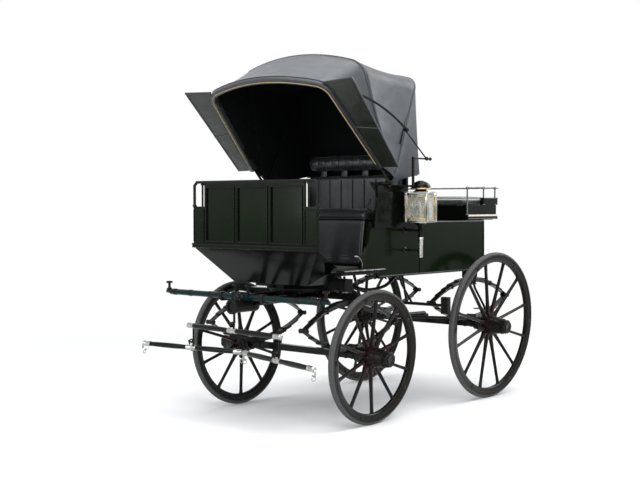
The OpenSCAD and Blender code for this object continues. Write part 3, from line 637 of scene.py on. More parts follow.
def arch_points(radius, start, offset):
    """Points (y, distance from the pivot) of an arch from its right foot over the top to its left foot."""
    half = [
        (FOOT_W + offset + (HOOD_W - FOOT_W) * t, start + (radius - CORNER - start) * t)
        for t in [i / 10 for i in range(10)]
    ]
    for i in range(9):
        a = math.radians(78 * i / 8)
        half.append(
            (
                HOOD_W - CORNER + (CORNER + offset) * math.cos(a),
                radius - CORNER + (CORNER + offset) * math.sin(a),
            )
        )
    edge_y, edge_v = half[-1]
    top = CROWN + 0.003
    for i in range(1, 9):
        t = i / 8
        half.append((edge_y * (1 - t), edge_v + top * (1 - (1 - t) ** 2)))
    return half + [(-y, v) for y, v in reversed(half[:-1])]


def from_pivot(y, v, angle, lift=0.0):
    """A point v from the pivot line at an angle above forward; lift is towards the plane's back."""
    a = math.radians(angle)
    return Vector(
        (PIVOT_X + v * math.cos(a) - lift * math.sin(a), y, PIVOT_Z + v * math.sin(a) + lift * math.cos(a))
    )


def sheet_faces(rows, columns):
    """Faces of an open sheet of points laid out in rows."""
    return [
        (i * columns + j, i * columns + j + 1, (i + 1) * columns + j + 1, (i + 1) * columns + j)
        for i in range(rows - 1)
        for j in range(columns - 1)
    ]


def hood_skin(name, points, faces, material, node):
    """A sheet of hood leather or lining with its thickness."""
    piece = make_mesh(name, points, faces, material)
    skin = piece.modifiers.new("thickness", "SOLIDIFY")
    skin.thickness = SKIN_T
    skin.offset = 0.0
    apply_modifiers(piece)
    if node:
        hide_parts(node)


def hood_section(name, first, second, offset, sag, node=None, material=HOOD_HIDE_PAINTED_SHEEN, steps=14):
    """Leather stretched between two bows, each given as (angle, radius, start, body)."""
    angle_a, radius_a, start_a, body_a = first
    angle_b, radius_b, start_b, body_b = second
    row_a = [from_pivot(y, v, angle_a) for y, v in arch_points(radius_a, start_a, offset)]
    row_b = [from_pivot(y, v, angle_b) for y, v in arch_points(radius_b, start_b, offset)]
    n = len(row_a)
    points = []
    for i in range(steps + 1):
        t = i / steps
        dip = sag * math.sin(math.pi * t)
        for j in range(n):
            p = row_a[j].lerp(row_b[j], t)
            inward = (Vector((PIVOT_X, 0, PIVOT_Z + 0.25)) - p)
            reach = min(1.0, (p - Vector((PIVOT_X, p.y, PIVOT_Z))).length / 0.6)
            points.append(p + inward.normalized() * dip * reach)
    hood_skin(name, points, sheet_faces(steps + 1, n), material, node)
    share_by_angle(bpy.data.objects[name], body_a, body_b, angle_a, angle_b)


def apply_modifiers(piece):
    bpy.context.view_layer.update()
    evaluated = piece.evaluated_get(bpy.context.evaluated_depsgraph_get())
    fresh = bpy.data.meshes.new_from_object(evaluated)
    fresh.name = piece.name
    piece.modifiers.clear()
    piece.data = fresh


def share_by_angle(piece, body_a, body_b, angle_a, angle_b):
    """Blends a hood piece between two bows, each point by its angle about the hood's pivot."""
    start = from_pivot(0, 0.6, angle_a)
    end = from_pivot(0, 0.6, angle_b)
    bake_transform(piece, body_a, body_b, start=tuple(start), end=tuple(end))
    weights = piece.data.attributes["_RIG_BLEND"]
    for vertex in piece.data.vertices:
        angle = math.degrees(math.atan2(vertex.co.z - PIVOT_Z, vertex.co.x - PIVOT_X))
        if angle < -90:
            angle += 360
        weights.data[vertex.index].value = min(1.0, max(0.0, (angle - angle_a) / (angle_b - angle_a)))


seat_low, seat_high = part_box("seat_box")
back_foot_x, back_foot_z = seat_low[0] - 0.012, seat_high[2]
BACK_ANGLE = math.degrees(math.atan2(back_foot_z - PIVOT_Z, back_foot_x - PIVOT_X))
BACK_R = math.hypot(back_foot_z - PIVOT_Z, back_foot_x - PIVOT_X)
front_line = (FRONT_ANGLE, FRONT_R, 0.155, "front_bow")
middle_line = (MIDDLE_ANGLE, MIDDLE_R, 0.075, "middle_bow")
rear_line = (REAR_ANGLE, REAR_R, 0.045, "rear_bow")
hood_section("hood_front_skin", front_line, middle_line, SKIN_OFFSET, 0.010, "hood_front_leather")
hood_section("hood_middle_skin", middle_line, rear_line, SKIN_OFFSET, 0.016, "hood_rear_leather")
hood_section("hood_front_lining", front_line, middle_line, LINING_OFFSET, 0.004, None, LINING, 8)
hood_section("hood_middle_lining", middle_line, rear_line, LINING_OFFSET, 0.004, None, LINING, 8)


def back_edges(offset):
    """The back leather's edges: on the rear bow, and along the seat back with its sides run to the pivot."""
    arch = arch_points(REAR_R, 0.045, offset)
    top = [from_pivot(y, v, REAR_ANGLE) for y, v in arch]
    foot = []
    for y, v in arch:
        share = v / REAR_R
        lower_y = max(-0.540, min(0.540, y * 0.985)) + offset * math.copysign(1, y)
        reach = 0.05 + (BACK_R - 0.05) * min(1.0, share * 1.15)
        foot.append(from_pivot(lower_y, reach if abs(y) > 0.40 else BACK_R, BACK_ANGLE))
    return top, foot


def hood_back_piece(name, offset, material, node=None, bulge=0.012, steps=16):
    top, foot = back_edges(offset)
    n = len(top)
    points = []
    for i in range(steps + 1):
        t = i / steps
        for j in range(n):
            p = top[j].lerp(foot[j], t)
            p.x += bulge * math.sin(math.pi * t) * (1 if abs(p.y) < 0.5 else 0.4)
            points.append(p)
    hood_skin(name, points, sheet_faces(steps + 1, n), material, node)
    share_by_angle(bpy.data.objects[name], "rear_bow", "body", REAR_ANGLE, BACK_ANGLE)


hood_back_piece("hood_back_skin", SKIN_OFFSET, HOOD_HIDE_PAINTED_SHEEN, "hood_back")
hood_back_piece("hood_back_lining", -0.024, LINING)


# ---------------------------------------------------------------- hood trim
def ring_between(rows):
    """Skin over several rows of points."""
    return [p for row in rows for p in row], sheet_faces(len(rows), len(rows[0]))


def along_arch(shape, radius, start, offset, angle, lift, size, sides=8, flat=1.0):
    shape.tube(
        [from_pivot(y, v, angle, lift) for y, v in arch_points(radius, start, offset)], size, sides=sides,
        flat=flat,
    )


front_face = Shape()
rows = []
for offset, lift in (
    (0.006, 0.010), (0.010, -0.010), (0.004, -0.024), (-0.012, -0.027), (-0.030, -0.024), (-0.036, -0.012),
    (-0.036, 0.012),
):
    rows.append([from_pivot(y, v, FRONT_ANGLE, lift) for y, v in arch_points(FRONT_R, 0.160, offset)])
points, faces = ring_between(rows)
front_face.add(points, faces)
front_face.piece("front_bow_leather", HIDE, "front_bow", "leather_black", angle=50)

gold = Shape()
along_arch(gold, FRONT_R, 0.200, -0.017, FRONT_ANGLE, -0.0268, 0.0028, 6, 0.5)
gold.piece("front_bow_gold_line", GOLD, "front_bow", "nickel")

welts = Shape()
along_arch(welts, FRONT_R, 0.160, 0.0085, FRONT_ANGLE, 0.004, 0.0045)
welts.piece("front_bow_welt", HIDE, "front_bow", "leather_black")
for name, radius, angle, body, start in (
    ("middle", MIDDLE_R, MIDDLE_ANGLE, "middle_bow", 0.12), ("rear", REAR_R, REAR_ANGLE, "rear_bow", 0.075),
):
    seam = Shape()
    along_arch(seam, radius, start, 0.0055, angle, 0.0, 0.0042, 6)
    seam.piece(f"{name}_bow_welt", HOOD_HIDE_PAINTED_SHEEN, body, "hood_leather")

PADDING_ROWS = ((-0.006, -0.013), (-0.028, -0.015), (-0.033, 0.0), (-0.028, 0.015), (-0.006, 0.013))
for name, radius, angle, body in (
    ("middle", MIDDLE_R, MIDDLE_ANGLE, "middle_bow"), ("rear", REAR_R, REAR_ANGLE, "rear_bow"),
):
    cover = Shape()
    shift = -0.012 if name == "rear" else 0.0
    rows = [
        [from_pivot(y, v, angle, lift + shift) for y, v in arch_points(radius, 0.290, offset)]
        for offset, lift in PADDING_ROWS
    ]
    points, faces = ring_between(rows)
    cover.add(points, faces)
    cover.piece(f"{name}_bow_cover", LINING, body, "leather_black", angle=60)


def build_flap(s, side):
    """A stiff leather-covered wing beside the hood's mouth, with a seam across and a welted edge."""
    inner = [
        (s * 0.612, 0.165), (s * 0.604, 0.30), (s * 0.590, 0.50), (s * 0.572, 0.70), (s * 0.560, 0.775),
        (s * 0.548, 0.840), (s * 0.520, 0.885),
    ]
    outer = [
        (s * 0.745, 0.160), (s * 0.750, 0.30), (s * 0.756, 0.50), (s * 0.763, 0.70), (s * 0.766, 0.775),
        (s * 0.769, 0.840), (s * 0.772, 0.900),
    ]
    steps = 6
    front, back = [], []
    for (y0, v0), (y1, v1) in zip(inner, outer):
        row_f, row_b = [], []
        for k in range(steps + 1):
            t = k / steps
            y, v = y0 + (y1 - y0) * t, v0 + (v1 - v0) * t
            puff = 0.003 * math.sin(math.pi * t)
            row_f.append(from_pivot(y, v, FRONT_ANGLE, -0.012 - puff))
            row_b.append(from_pivot(y, v, FRONT_ANGLE, -0.001 + puff))
        front.append(row_f)
        back.append(row_b)
    ring_rows = [f + b[::-1] for f, b in zip(front, back)]
    flap = Shape()
    flap.rings(ring_rows)
    made = flap.piece(f"hood_flap_{side}", FLAP, "front_bow", "body_green", angle=60)
    edge = Shape()
    path = [from_pivot(y, v, FRONT_ANGLE, -0.007) for y, v in inner[:1] + outer + inner[-1:]]
    edge.tube(path, 0.0065, 8)
    edge.piece(f"hood_flap_edge_{side}", HIDE, "front_bow", "leather_black")
    seam = Shape()
    seam.tube(
        [
            from_pivot(s * (0.592 + 0.166 * t), 0.515 - 0.02 * t, FRONT_ANGLE, -0.0155)
            for t in [k / 8 for k in range(9)]
        ],
        0.0035, 6,
    )
    for y0, v0, y1, v1 in (
        (0.628, 0.19, 0.605, 0.49), (0.735, 0.185, 0.744, 0.49), (0.600, 0.535, 0.570, 0.79),
        (0.745, 0.535, 0.756, 0.86),
    ):
        seam.tube(
            [
                from_pivot(s * (y0 + (y1 - y0) * t), v0 + (v1 - v0) * t, FRONT_ANGLE, -0.0140)
                for t in [k / 8 for k in range(9)]
            ],
            0.0012, 5,
        )
    seam.piece(f"hood_flap_seam_{side}", HIDE, "front_bow", "leather_black")
    return made


flap_pieces = [build_flap(s, side) for s, side in both_sides()]
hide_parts("hood_flaps")


# knobs at the landau irons' feet and knuckles
def landau_trim(s, side):
    lower, upper = joints[f"landau_lower_{side}_turn"], joints[f"landau_upper_{side}_turn"]
    for name, joint, body in (
        ("foot", lower, f"landau_lower_{side}"), ("knuckle", upper, f"landau_upper_{side}"),
    ):
        knob = Shape()
        place = Vector(joint["pos_m"])
        place.y = s * (0.646 if name == "foot" else 0.659)
        knob.lathe(
            place, (0, s, 0),
            [(-0.002, 0.013), (0.002, 0.0145), (0.005, 0.011), (0.009, 0.008), (0.011, 0.003)], 20,
        )
        knob.piece(f"landau_{name}_{side}", IRON, body, "nickel")


for s, side in both_sides():
    landau_trim(s, side)

# strap and studs along the back curtain's foot
strap = Shape()
foot_line = [from_pivot(y, BACK_R + 0.004, BACK_ANGLE, 0.0) for y in [-0.52 + 0.04 * k for k in range(27)]]
strap.tube(foot_line, 0.011, 8, flat=0.4)
strap.piece("hood_foot_strap", HIDE, "body", "leather_black")
studs = Shape()
for y in [-0.50 + 0.05 * k for k in range(21)]:
    p = from_pivot(y, BACK_R + 0.006, BACK_ANGLE, 0.0)
    studs.lathe(
        p + Vector((-0.006, 0, 0.004)), (-1, 0, 0.4), [(0, 0.006), (0.003, 0.005), (0.005, 0.002)], 10,
    )
studs.piece("hood_foot_studs", NICKEL, "body", "nickel")


# ---------------------------------------------------------------- dash and body trim
def bead(shape, path, radius=0.006, sides=8, wrap=False):
    shape.tube([at_axle(*p) for p in path], radius, sides, wrap)


DASH_X = 0.497
DASH_PANELS = ((-0.447, -0.169), (-0.139, 0.139), (0.169, 0.447))
PANEL_LOW, PANEL_HIGH = 1.209, 1.578
panels = Shape()
beads = Shape()


def bead_frame(corners, radius):
    for a, b in zip(corners, corners[1:] + corners[:1]):
        bead(beads, [a, b], radius)


for y0, y1 in DASH_PANELS:
    steps = 10
    rows = []
    for i in range(steps + 1):
        z = PANEL_LOW + 0.004 + (PANEL_HIGH - PANEL_LOW - 0.008) * i / steps
        rows.append(
            [
                at_axle(
                    DASH_X - 0.0068 + 0.0016 * math.sin(
                        math.pi * i / steps
                    ) * math.sin(math.pi * k / steps),
                    y0 + 0.004 + (y1 - y0 - 0.008) * k / steps, z,
                )
                for k in range(steps + 1)
            ]
        )
    points, faces = ring_between(rows)
    panels.add(points, faces)
    frame_path = [
        (DASH_X + 0.001, y0, PANEL_LOW), (DASH_X + 0.001, y1, PANEL_LOW), (DASH_X + 0.001, y1, PANEL_HIGH),
        (DASH_X + 0.001, y0, PANEL_HIGH),
    ]
    bead_frame(frame_path, 0.0055)
for y0, y1 in ((-0.570, -0.470), (0.470, 0.570)):
    low_z, high_z = 1.205, 1.425
    corners = [
        (DASH_X + 0.001, y0, low_z), (DASH_X + 0.001, y1, low_z), (DASH_X + 0.001, y1, high_z),
        (DASH_X + 0.001, y0, high_z),
    ]
    bead_frame(corners, 0.0045)
bead(beads, [(DASH_X + 0.008, -0.578, 1.187), (DASH_X + 0.008, 0.578, 1.187)], 0.007)
bead(beads, [(DASH_X + 0.008, -0.578, 1.166), (DASH_X + 0.008, 0.578, 1.166)], 0.005)
bead(beads, [(DASH_X - 0.010, -0.465, 1.603), (DASH_X - 0.010, 0.465, 1.603)], 0.011)
beads.piece("dash_mouldings", BLACK, "body", "gloss_black")
panels.piece("dash_panels", GREEN, "body", "body_green")

# ferrules and fixing discs along the dash rail
rail_trim = Shape()
for y in (-0.493, 0.493):
    rail_trim.lathe(
        at_axle(DASH_X - 0.010, y, 1.604), (0, 0, 1), [(-0.012, 0.011), (-0.006, 0.013), (0.0, 0.011)], 20,
    )
for y in (-0.574, 0.574):
    rail_trim.lathe(
        at_axle(DASH_X - 0.010, y, 1.447), (0, 0, 1),
        [(0, 0.016), (0.004, 0.0165), (0.010, 0.012), (0.014, 0.0105)], 20,
    )
rail_trim.piece("dash_rail_sockets", IRON, "body", "iron_black")

# mouldings round each side of the body
side_trim = Shape()
for s, side in both_sides():
    y = s * (BODY_Y + 0.0005)
    bead(side_trim, [(-0.165, y, 1.332), (-1.545, y, 1.332)], 0.0075)
    bead(
        side_trim,
        bezier(
            [
                (-1.546, y, 1.330), (-1.548, y, 1.18), (-1.547, y, 1.04), (-1.533, y, 0.985),
                (-1.490, y, 0.966),
            ],
            6,
        ),
        0.006,
    )
    bead(side_trim, [(-1.490, y, 0.965), (-0.250, y, 0.965)], 0.006)
    bead(side_trim, [(-0.232, y, 0.965), (-0.232, y, 1.015)], 0.006)
    bead(
        side_trim,
        bezier(
            [
                (-0.072, y, 1.055), (-0.066, y, 1.085), (-0.118, y, 1.175), (-0.152, y, 1.25),
                (-0.166, y, 1.325),
            ],
            6,
        ),
        0.006,
    )
    bead(side_trim, [(-0.72, y, 0.972), (-0.72, y, 1.326)], 0.005)
side_trim.piece("body_mouldings", BLACK, "body", "gloss_black")

rear_trim = Shape()
for z in (1.024, 1.334):
    bead(rear_trim, [(-1.5555, -0.472, z), (-1.5555, 0.472, z)], 0.006)
for y in (-0.455, 0.0, 0.455):
    bead(rear_trim, [(-1.5555, y, 1.024), (-1.5555, y, 1.334)], 0.005)
rear_trim.piece("rear_mouldings", BLACK, "body", "gloss_black")

# bright steel step edges, a bright steel arc at the side panel's front foot that is a painted highlight, and
# tread ribs on the steps
bright_steps_and_highlight = Shape()
treads = Shape()
for s, side in both_sides():
    y = s * 0.5435
    treads_path = [(-0.236, y, 1.0210), (0.196, y, 1.0210)]
    bead(bright_steps_and_highlight, treads_path, 0.0042)
    # painted highlight: this bright steel arc stands in for the light caught along the side panel's front
    # edge
    arc = bezier(
        [
            (-0.055, s * 0.490, 1.030), (-0.045, s * 0.492, 1.075), (-0.010, s * 0.492, 1.108),
            (0.035, s * 0.492, 1.115),
        ],
        6,
    )
    bead(bright_steps_and_highlight, arc, 0.0050)
    for k in range(9):
        x = -0.20 + 0.045 * k
        treads.block(
            at_axle(x, s * 0.515 - 0.022, 1.0250), at_axle(x + 0.012, s * 0.515 + 0.022, 1.0268), 0.0006,
        )
bright_steps_and_highlight.piece("step_edges_and_painted_highlight", STEEL, "body", "nickel")
treads.piece("step_treads", RUBBER, "body", "floor_wood")


# ---------------------------------------------------------------- cushions
def pad_shape(low, high, crown, waist, cuts=(26, 40, 8), corner=0.030):
    """Crowned closed cushion: rounded corners, domed top and sides that pull in at their middles."""
    low, high = Vector(low), Vector(high)
    size = high - low
    mid = (low + high) / 2
    b = bmesh.new()
    bmesh.ops.create_cube(b, size=1.0)
    for axis, count in enumerate(cuts):
        edges = [
            e
            for e in b.edges if abs((e.verts[0].co - e.verts[1].co)[axis]) > 0.5 * max(
                abs((e.verts[0].co - e.verts[1].co)[k])
                for k in range(3)
            ) and abs((e.verts[0].co - e.verts[1].co)[axis]) > 1e-6
        ]
        bmesh.ops.subdivide_edges(b, edges=edges, cuts=count - 1, use_grid_fill=True)
    for v in b.verts:
        u = v.co * 2
        p = Vector((u.x * size.x / 2, u.y * size.y / 2, u.z * size.z / 2))
        # round the box: clamp to an inner box and push out by the corner radius
        inner = Vector([max(-size[k] / 2 + corner, min(size[k] / 2 - corner, p[k])) for k in range(3)])
        out = p - inner
        if out.length > 1e-6:
            p = inner + out.normalized() * corner
        edge_x, edge_y = min(1.0, abs(u.x)), min(1.0, abs(u.y))
        dome = (1 - edge_x**4) * (1 - edge_y**4)
        if u.z > 0:
            p.z += crown * (dome - 1) * u.z
        p.x -= math.copysign(waist * (1 - edge_y**2) * edge_x**6, u.x)
        p.y -= math.copysign(waist * (1 - edge_x**2) * edge_y**6, u.y)
        v.co = mid + p
    points = [v.co.copy() for v in b.verts]
    faces = [[v.index for v in f.verts] for f in b.faces]
    b.free()
    return points, faces


def swell(piece, cap, voxel=0.009, pressure=4.0, frames=16):
    """Inflates a pad as cloth, then limits how far each point may move."""
    scene = bpy.context.scene
    remesh = piece.modifiers.new("even mesh", "REMESH")
    remesh.mode = "VOXEL"
    remesh.voxel_size = voxel
    apply_modifiers(piece)
    before = [v.co.copy() for v in piece.data.vertices]
    cloth = piece.modifiers.new("cloth", "CLOTH")
    cloth.settings.quality = 5
    cloth.settings.mass = 0.3
    cloth.settings.tension_stiffness = 25
    cloth.settings.compression_stiffness = 25
    cloth.settings.use_pressure = True
    cloth.settings.uniform_pressure_force = pressure
    cloth.settings.effector_weights.gravity = 0.0
    cloth.collision_settings.use_collision = False
    cloth.point_cache.frame_start = 1
    cloth.point_cache.frame_end = frames
    for step in range(1, frames + 1):
        scene.frame_set(step)
    apply_modifiers(piece)
    for vertex, old in zip(piece.data.vertices, before):
        move = vertex.co - old
        if move.length > cap:
            vertex.co = old + move.normalized() * cap
    scene.frame_set(1)


def make_pad(
    name, low, high, crown, waist, material, body, node=None, corner=0.030, cap=0.0, cuts=(26, 40, 8),
):
    points, faces = pad_shape(low, high, crown, waist, cuts, corner)
    pad = make_mesh(name, points, faces, material, True, body)
    if cap:
        swell(pad, cap)
        low_v, high_v = Vector(low), Vector(high)
        for vertex in pad.data.vertices:
            vertex.co = Vector(
                [max(low_v[k] - 0.006, min(high_v[k] + 0.006, vertex.co[k])) for k in range(3)]
            )
            vertex.co.z = max(low_v.z + 0.0005, vertex.co.z)
        pad.data.materials.clear()
        pad.data.materials.append(material)
    for polygon in pad.data.polygons:
        polygon.use_smooth = True
    round_off = pad.modifiers.new("smooth", "SUBSURF")
    round_off.levels = round_off.render_levels = 1
    apply_modifiers(pad)
    if node:
        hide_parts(node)
    return pad


def piping(name, low, high, z, waist, body, material=None, radius=0.0045, inset=0.006):
    """A welt round a pad at height z, following its pulled-in sides."""
    low, high = Vector(low), Vector(high)
    mid, half = (low + high) / 2, (high - low) / 2
    path = []
    n = 96
    for k in range(n):
        a = 2 * math.pi * k / n
        c, s = math.cos(a), math.sin(a)
        x = math.copysign(abs(c) ** 0.22, c)
        y = math.copysign(abs(s) ** 0.22, s)
        px = x * (half.x - inset) - math.copysign(waist * (1 - min(1, abs(y)) ** 2), x) * (abs(x) > 0.9)
        py = y * (half.y - inset) - math.copysign(waist * (1 - min(1, abs(x)) ** 2), y) * (abs(y) > 0.9)
        path.append(Vector((mid.x + px, mid.y + py, z)))
    welt = Shape()
    welt.tube(path, radius, 6, wrap=True)
    return welt.piece(name, material or HIDE, body, "leather_black")


cushion_low, cushion_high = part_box("seat_cushion")
make_pad(
    "driver_cushion", cushion_low, cushion_high, 0.018, 0.008, HIDE, "body", "seat_cushion", 0.032, 0.010,
)
piping(
    "driver_cushion_welt", cushion_low, cushion_high, cushion_high[2] - 0.026, 0.006, "body", None, 0.0045,
    0.001,
)
piping(
    "driver_cushion_foot_welt", cushion_low, cushion_high, cushion_low[2] + 0.012, 0.006, "body", None,
    0.004, 0.002,
)

groom_low, groom_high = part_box("groom_cushion")
# the groom's pad uses the hide whose lighter base is a painted sheen
make_pad(
    "groom_seat_pad", groom_low, groom_high, 0.014, 0.006, HIDE_PAINTED_SHEEN, "body", "groom_cushion", 0.024, 0.008,
)
piping("groom_pad_welt", groom_low, groom_high, groom_high[2] - 0.020, 0.005, "body", CREAM, 0.0028, 0.001)
piping(
    "groom_pad_foot_welt", groom_low, groom_high, groom_low[2] + 0.010, 0.005, "body", None, 0.0035, 0.001,
)

back_low, back_high = Vector(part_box("seat_back")[0]), Vector(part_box("seat_back")[1])
BACK_TOP = 1.672
make_pad(
    "driver_back_pad", (back_low.x, back_low.y, back_low.z),
    (back_low.x + 0.066, back_high.y, BACK_TOP - 0.004), 0.0, 0.004, HIDE, "body", "seat_back", 0.028, 0.0,
    (8, 40, 26),
)

# channel lines down the back pad
channels = Shape()
for k in range(1, 8):
    y = back_low.y + (back_high.y - back_low.y) * k / 8
    channels.tube(
        [
            Vector((back_low.x + 0.0670, y, z))
            for z in [back_low.z + 0.03 + (BACK_TOP - back_low.z - 0.06) * i / 10 for i in range(11)]
        ],
        0.0030, 6,
    )
channels.piece("driver_back_channels", HIDE, "body", "leather_black")

# padded roll above the back pad, with pleats and round ends
roll_centre = at_axle(-0.550, 0, 1.762)
roll = Shape()
rings = []
half_roll = 0.396
for i in range(97):
    t = -1 + 2 * i / 96
    y = t * half_roll
    edge = max(0.0, abs(t) - 0.93) / 0.07
    r = 0.0555 * math.sqrt(max(0.0, 1 - edge**2 * 0.93))
    r -= 0.0035 * math.exp(-((((t * 6) % 1.0) - 0.5) / 0.07) ** 2)
    ring = []
    for k in range(40):
        a = 2 * math.pi * k / 40
        sag = 0.003 * math.sin(3 * a + i * 0.4)
        ring.append(
            roll_centre + Vector(((r + sag * 0.4) * math.cos(a), y, (r + sag * 0.4) * math.sin(a) * 0.98))
        )
    rings.append(ring)
roll.rings(rings)
roll_piece = roll.piece("driver_back_roll", HIDE, "body", "leather_black", angle=60)
skirt = Shape()
for y in (-0.30, -0.10, 0.10, 0.30):
    skirt.block(at_axle(-0.586, y - 0.030, 1.660), at_axle(-0.566, y + 0.030, 1.725), 0.004)
skirt.piece("back_roll_straps", HIDE, "body", "leather_black")

# leather fall in front of the seat
fall_rows = []
for i in range(19):
    t = i / 18
    z = 1.352 - (1.352 - 1.052) * t
    x = -0.136 + 0.034 * t + 0.004 * math.sin(t * math.pi)
    fall_rows.append(
        [at_axle(x + 0.0022 * math.sin(k * 0.9 + t * 2) * t, -0.445 + 0.89 * k / 40, z) for k in range(41)]
    )
points, faces = ring_between(fall_rows)
fall_piece = make_mesh("seat_fall", points, faces, HIDE, True, "body")
thickness = fall_piece.modifiers.new("thickness", "SOLIDIFY")
thickness.thickness = 0.0035
thickness.offset = 1.0
apply_modifiers(fall_piece)
stitching = Shape()
for z_at in (0.040, 0.058):
    row = fall_rows[-1]
    stitching.tube(
        [p + Vector((0.0042, 0, z_at)) - Vector((0.034 * z_at / 0.3, 0, 0)) for p in row], 0.0013, 5,
    )
for side_y in (0.02, 0.87):
    k = int(round(side_y / 0.89 * 40))
    stitching.tube([fall_rows[i][k] + Vector((0.0036, 0, 0)) for i in range(1, 18)], 0.0011, 5)
stitching.piece("seat_fall_stitching", THREAD, "body", "leather_black")

# floor mat in the footwell
mat = Shape()
mat.block(at_axle(-0.095, -0.44, 1.0315), at_axle(0.225, 0.44, 1.0375), 0.002)
for k in range(14):
    mat.block(
        at_axle(-0.085 + 0.022 * k, -0.425, 1.0370), at_axle(-0.077 + 0.022 * k, 0.425, 1.0392), 0.0008,
    )
mat.piece("footwell_mat", RUBBER, "body", "floor_wood")

# side upholstery inside the seat ends
for s, side in both_sides():
    low = at_axle(-0.535, s * 0.468 - 0.012, 1.43)
    high = at_axle(-0.245, s * 0.468 + 0.012, 1.585)
    make_pad(f"seat_end_pad_{side}", low, high, 0.0, 0.003, HIDE, "body", None, 0.011, 0.0, (20, 4, 14))

# groom's seat: bright strip and mouldings
strip = Shape()
for s, side in both_sides():
    y = s * 0.4765
    strip.block(
        at_axle(-1.742, min(y, y + s * 0.004), 1.368), at_axle(-1.338, max(y, y + s * 0.004), 1.382),
        0.0012,
    )
strip.block(at_axle(-1.7475, -0.474, 1.368), at_axle(-1.7445, 0.474, 1.382), 0.0012)
strip.piece("groom_seat_strip", CREAM, "body", "nickel")
groom_trim = Shape()
for s, side in both_sides():
    y = s * (BODY_Y + 0.0005)
    bead(groom_trim, [(-1.743, y, 1.350), (-1.336, y, 1.350)], 0.005)
    bead(groom_trim, [(-1.744, y, 1.506), (-1.548, y, 1.506)], 0.005)
    bead(groom_trim, [(-1.547, y, 1.506), (-1.547, y, 1.46)], 0.004)
groom_trim.piece("groom_seat_mouldings", BLACK, "body", "gloss_black")
knobs = Shape()
for s, side in both_sides():
    for x in (-1.333, -1.555, -1.715):
        knobs.lathe(
            at_axle(x, s * 0.472, 1.587), (0, 0, 1),
            [
                (-0.012, 0.005), (-0.009, 0.009), (-0.002, 0.0115), (0.005, 0.010), (0.009, 0.006),
                (0.0105, 0.001),
            ],
            20,
        )
        knobs.lathe(
            at_axle(x, s * 0.472, 1.457 if x < -1.4 else 1.380), (0, 0, 1),
            [(0, 0.013), (0.004, 0.013), (0.007, 0.008)], 20,
        )
knobs.piece("groom_rail_knobs", STEEL, "body", "nickel")


# ---------------------------------------------------------------- lamps
LAMP_X, LAMP_Y, LAMP_Z, LAMP_W, LAMP_H = -0.541, 0.618, 1.340, 0.160, 0.200


def lamp_matrix(s):
    return Matrix.Translation(
        at_axle(LAMP_X, s * LAMP_Y, LAMP_Z)
    ) @ Matrix.Rotation(math.radians(15 * s), 4, "Z")


def turned(shape, matrix, profile, sides=40, x=0.0, y=0.0):
    shape.lathe(matrix @ Vector((x, y, 0)), matrix.to_3x3() @ Vector((0, 0, 1)), profile, sides)


